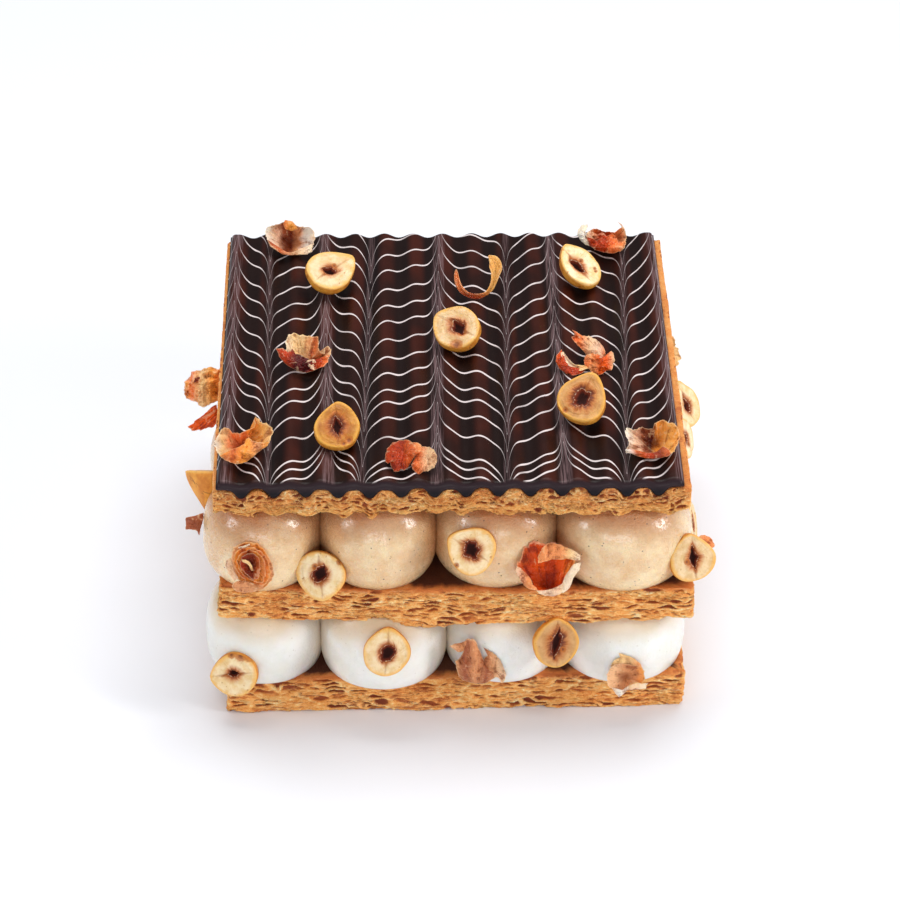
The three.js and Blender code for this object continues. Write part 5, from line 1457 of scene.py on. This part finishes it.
def skin_part(seed, kind, *values):
    """One shell or scrap of a skin, turned as it lies in the frame."""
    if kind == "shell":
        size, walls, turns, tints, torn, pale, ribs, crumple = values
        surface, fold, *layout = skin_shell(seed, size, walls, torn, crumple)
        outside, inside = (np.tile(colour(text)[:3], (len(fold), 1)) for text in tints)
        points, faces, attributes = skin_sheet(
            surface, -fold, *layout, SKIN_THICKNESS, inside, outside, True, pale, ribs)
        return points @ facing(*turns), faces, attributes
    outline, hub, form, tints, pale, ribs, crumple = values
    surface, fold, *layout = skin_scrap(seed, outline, hub, form, crumple)
    shares = (surface[:, 0] - surface[:, 0].min()) / np.ptp(surface[:, 0])
    shares = shares + 0.06 * noise(seed + 9, surface[:, 0], surface[:, 1], 1.5, 1.5)
    stops = np.linspace(0, 1, len(tints))
    ramp = np.array([colour(text)[:3] for text in tints])
    front = np.stack([np.interp(shares, stops, ramp[:, axis]) for axis in range(3)], -1)
    points, faces, attributes = skin_sheet(
        surface, fold, *layout, SKIN_THICKNESS, front, front * 0.8, form[0] < 0, pale, ribs)
    return points @ CAMERA_VIEW, faces, attributes


def hazelnut_skins(material):
    """Each skin put where its solid is; one that would sink into the glaze is drawn nearer along
    the camera's line of sight until it lies on it."""
    for number, (node, layers) in enumerate(SKINS.items()):
        seed = FIRST_SKIN_SEED + 40 * number
        parts = [skin_part(seed + 10 * layer, *values) for layer, values in enumerate(layers)]
        points, faces, attributes = joined_parts(parts)
        points = centred_on(points, node)
        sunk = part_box(node)[0][2] / MM - points[:, 2].min()
        right, up, near = MOVED.get(node, (0, 0, 0))
        if node.startswith("skin_top"):
            near = near + max(0, sunk) / math.sin(math.radians(CAMERA_RISE))
        points = points + (right, up, near) @ CAMERA_VIEW
        piece = make_piece("torn_" + node, material, points, faces, attributes)
        settle(piece, "hazelnut_skin", node)
    surface, fold, *layout = skin_peel(PEEL_SEED)
    warm, brown, golden = (np.array(colour(text)[:3]) for text in (ORANGE, BRICK, GOLD))
    way = smooth_step((surface[:, 0] + 6) / 11)[:, None]
    low = smooth_step((-3.0 - surface[:, 1]) / 3.4)[:, None]
    front = (warm * (1 - way) + golden * way) * (1 - low) + brown * low
    points, faces, attributes = skin_sheet(
        surface, fold, *layout, PEEL_THICKNESS, front, front * 0.9, False, 0.5, 1.0)
    points = centred_on(points @ facing(*PEEL_TURNS), "skin_top_4")
    piece = make_piece("torn_skin_top_4", material, points, faces, attributes)
    settle(piece, "hazelnut_skin", "skin_top_4")


def skin_finish():
    """Papery skin in the colour each face is given, with painted shade in its folds and, on the
    inside of a cup, towards its foot, a painted highlight on its ridges, paler towards the rim, ribs
    that fan out from the foot, and a faint painted glow for the light that passes through it."""
    finish = Finish("papery_hazelnut_skin")
    place = finish.place()
    tint = finish.attribute("tint", 1)
    inside = finish.attribute("inside")
    fold = finish.attribute("fold")
    rim = finish.attribute("rim")
    pale = finish.attribute("pale")
    ribs = finish.attribute("ribs")
    ray = finish.joined(finish.attribute("turn_x"), finish.attribute("turn_y"), rim * 0.2)
    cloud = finish.noise(place, 0.3, 3, 0.6)
    fine = finish.noise(place, 1.6, 3, 0.6)
    rib = finish.noise(finish.scaled(ray, (12, 12, 3)), 1.0, 3, 0.65)
    value = 0.5 + 0.12 * fold + 0.5 * (cloud - 0.5)
    value = value + (0.6 + 1.1 * ribs) * (rib - 0.5) + 0.5 * (fine - 0.5)
    dark = finish.scaled(tint, (0.42, 0.24, 0.16))
    light = finish.blend(0.5, tint, "ffe0b0")
    pale_from = 0.78 - 0.25 * pale - 0.24 * pale * rim
    torn_edge = finish.step(rim + 0.06 * (cloud - 0.5), 0.94, 0.975)
    base = finish.layered(
        tint,
        (finish.step(value, 0.5, 0.16) * 0.8, dark),
        (finish.step(value, pale_from, pale_from + 0.2) * 0.9, light),
        # Painted shade in the skin's concave folds, and a painted highlight on its ridges.
        (finish.step(fold + 0.5 * (fine - 0.5), -0.6, -1.7) * 0.5, dark),
        (finish.step(fold + 0.8 * (fine - 0.5), 0.6, 1.0) * 0.5, light),
        # Painted shade: the inside of a cup darkens towards its foot.
        (inside * finish.step(rim + 0.3 * (cloud - 0.5), 0.62, 0.08) * 0.75, dark),
        (torn_edge * 0.6, light))
    normal = finish.bump(1.2 * fine + (0.3 + ribs) * rib + cloud, 0.6, 0.9)
    # The emission in the skin's own colour is a painted glow, standing in for light that passes through
    # the thin skin.
    return finish.surface(
        base, 0.3 + 0.2 * (fine - 0.5), normal, subsurface_weight=0.08,
        subsurface_radius=(1.0, 0.5, 0.22), subsurface_scale=0.0005, specular_ior_level=0.4,
        emission_color=base, emission_strength=0.08)


# Studio

FLOOR_REACH = 3000
FLOOR_GAP = 0.05
SKY = (0.92, 0.94, 1.0, 1)
SKY_STRENGTH = 0.235
LIGHTS = {
    # azimuth, 0 in front and 90 at the right, and elevation in degrees; distance and size in
    # metres; power in watts; colour
    "light_above": (175, 74, 1.2, (1.1, 0.8), 14.2, (1.0, 0.99, 0.98)),
    "light_right": (68, 24, 0.75, (0.2, 0.24), 2.6, (1.0, 0.98, 0.95)),
    "light_left": (-68, 24, 0.75, (0.16, 0.2), 1.1, (0.98, 0.99, 1.0)),
    "light_front": (-6, 16, 1.4, (1.2, 0.5), 6.0, (1.0, 1.0, 1.0)),
}
LIT_POINT = Vector(CAMERA_TARGET) * MM


def camera():
    """Looks along the camera's axis at its target: back points from the target to the camera, and
    the picture's right and up are turned about it by the roll."""
    rise, yaw, roll = np.radians([CAMERA_RISE, CAMERA_YAW, CAMERA_ROLL])
    back = np.array([
        math.sin(yaw) * math.cos(rise), -math.cos(yaw) * math.cos(rise), math.sin(rise)])
    level = np.array([math.cos(yaw), math.sin(yaw), 0])
    above = np.cross(back, level)
    right = level * math.cos(roll) + above * math.sin(roll)
    up = above * math.cos(roll) - level * math.sin(roll)
    slide_right, slide_up = CAMERA_SLIDE
    place = CAMERA_TARGET + level * slide_right + above * slide_up + back * CAMERA_DISTANCE
    data = bpy.data.cameras.new("camera")
    data.sensor_width = SENSOR_WIDTH
    data.lens = FOCAL_PIXELS / PICTURE_SIDE * SENSOR_WIDTH
    data.clip_end = 20
    eye = bpy.data.objects.new("camera", data)
    matrix = Matrix.Identity(4)
    for i in range(3):
        matrix[i][0], matrix[i][1], matrix[i][2], matrix[i][3] = right[i], up[i], back[i], place[i] * MM
    eye.matrix_world = matrix
    bpy.context.scene.collection.objects.link(eye)
    bpy.context.scene.camera = eye


def soft_light(name, azimuth, elevation, distance, size, power, tint):
    """A rectangular area light that faces the middle of the cake."""
    a, e = math.radians(azimuth), math.radians(elevation)
    away = Vector((math.sin(a) * math.cos(e), -math.cos(a) * math.cos(e), math.sin(e)))
    data = bpy.data.lights.new(name, "AREA")
    data.shape = "RECTANGLE"
    data.size, data.size_y = size
    data.energy = power
    data.color = tint
    lamp = bpy.data.objects.new(name, data)
    lamp.rotation_euler = away.to_track_quat("Z", "Y").to_euler()
    lamp.location = LIT_POINT + away * distance
    bpy.context.scene.collection.objects.link(lamp)


def studio():
    """A plain pale floor, a dim even sky and soft lights: one over the cake from behind, one at
    each side and a weak one in front."""
    finish = Finish("pale_floor")
    grain = finish.noise(finish.place(), 0.01, 2, 0.5)
    pale = finish.surface(finish.blend(grain, "ebeef4", "edf0f6"), 0.7, specular_ior_level=0.1)
    corners = FLOOR_REACH * np.array([[-1, -1, 0], [1, -1, 0], [1, 1, 0], [-1, 1, 0]], float)
    floor = make_piece("floor", pale, corners - [0, 0, FLOOR_GAP], [np.array([[0, 1, 2, 3]])])
    world = bpy.data.worlds.new("studio_air")
    world.use_nodes = True
    world.node_tree.nodes["Background"].inputs["Color"].default_value = SKY
    world.node_tree.nodes["Background"].inputs["Strength"].default_value = SKY_STRENGTH
    bpy.context.scene.world = world
    for name, light in LIGHTS.items():
        soft_light(name, *light)
    bpy.context.scene.view_settings.view_transform = "Standard"
    bpy.context.scene.view_settings.look = "None"


# Building

# Where flakes hang lowest from the top sheet
UNDERSIDE_DIPS = (-53.8, -28.6, -21.0, 2.9, 16.6, 25.0, 36.0, 45.6, 60.0)


def top_underside(points):
    """The wave, with the lowest flakes where some hang from the underside."""
    x = points[..., 0]
    dips = sum(np.exp(-((x - place) / 1.7) ** 2) for place in UNDERSIDE_DIPS)
    flakes = 0.35 * noise(61, x, 0 * x, 3.1, 1)
    return TOP_SHEET_UNDERSIDE + 0.55 * UNDERSIDE_WAVE * wave(x) - 1.3 * dips + flakes


def middle_underside(points):
    """Lowest along the middle of the front, and uneven."""
    x = points[..., 0]
    sag = 1.6 * np.exp(-((x + 4) / 34) ** 2)
    return MIDDLE_UNDERSIDE - sag + 0.5 * noise(62, x, 0 * x, 9, 1) + 0.35 * noise(63, x, 0 * x, 2.6, 1)


def top_side(points):
    """The corrugation that the glaze lies on."""
    return TOP_SHEET_TOP + SHEET_WAVE * broad_wave(points[..., 0])


def level_at(height):
    return lambda points: np.full(points.shape[:-1], height)


def main():
    camera()
    studio()
    pastry = pastry_finish()
    pastry_sheet(
        "baked_base", "base_pastry", pastry, seed=11, size=(64.5, 64.5, 0), underside=level_at(0.0),
        top=level_at(BASE_TOP), turn=0.7, shift=-0.4, cell=(6.4, 1.4), rows=74, step=0.5, bulge=0.6)
    pastry_sheet(
        "baked_middle", "middle_pastry", pastry, seed=211, size=(65.7, 65.7, 0),
        underside=middle_underside, top=level_at(MIDDLE_TOP), turn=-1.0, shift=1.1,
        cell=(6.0, 1.25), rows=70, step=0.5, bulge=1.6)
    pastry_sheet(
        "baked_top", "top_pastry", pastry, seed=311, size=(65, 65, 0.5), underside=top_underside,
        top=top_side, turn=0.0, shift=TOP_SHIFT, cell=(2.6, 1.2), rows=52, step=0.42,
        side_roughness=0.2, crust=0.25)
    glaze_piece(glaze_finish())
    cream_pieces("white", cream_finish(
        "white_vanilla_cream", pale="f0f0ec", shade="e8e8e0", painted_shade_tint="d9b98c",
        speck_tint="a08c74", specks=0.3, gloss=0.36, broken=0.15))
    cream_pieces("beige", cream_finish(
        "beige_vanilla_cream", pale="f6dcae", shade="e4ba86", painted_shade_tint="b4662a",
        speck_tint="5a3220", specks=0.85, gloss=0.31, broken=0.85))
    hazelnuts(hazelnut_finish())
    hazelnut_skins(skin_finish())


main()
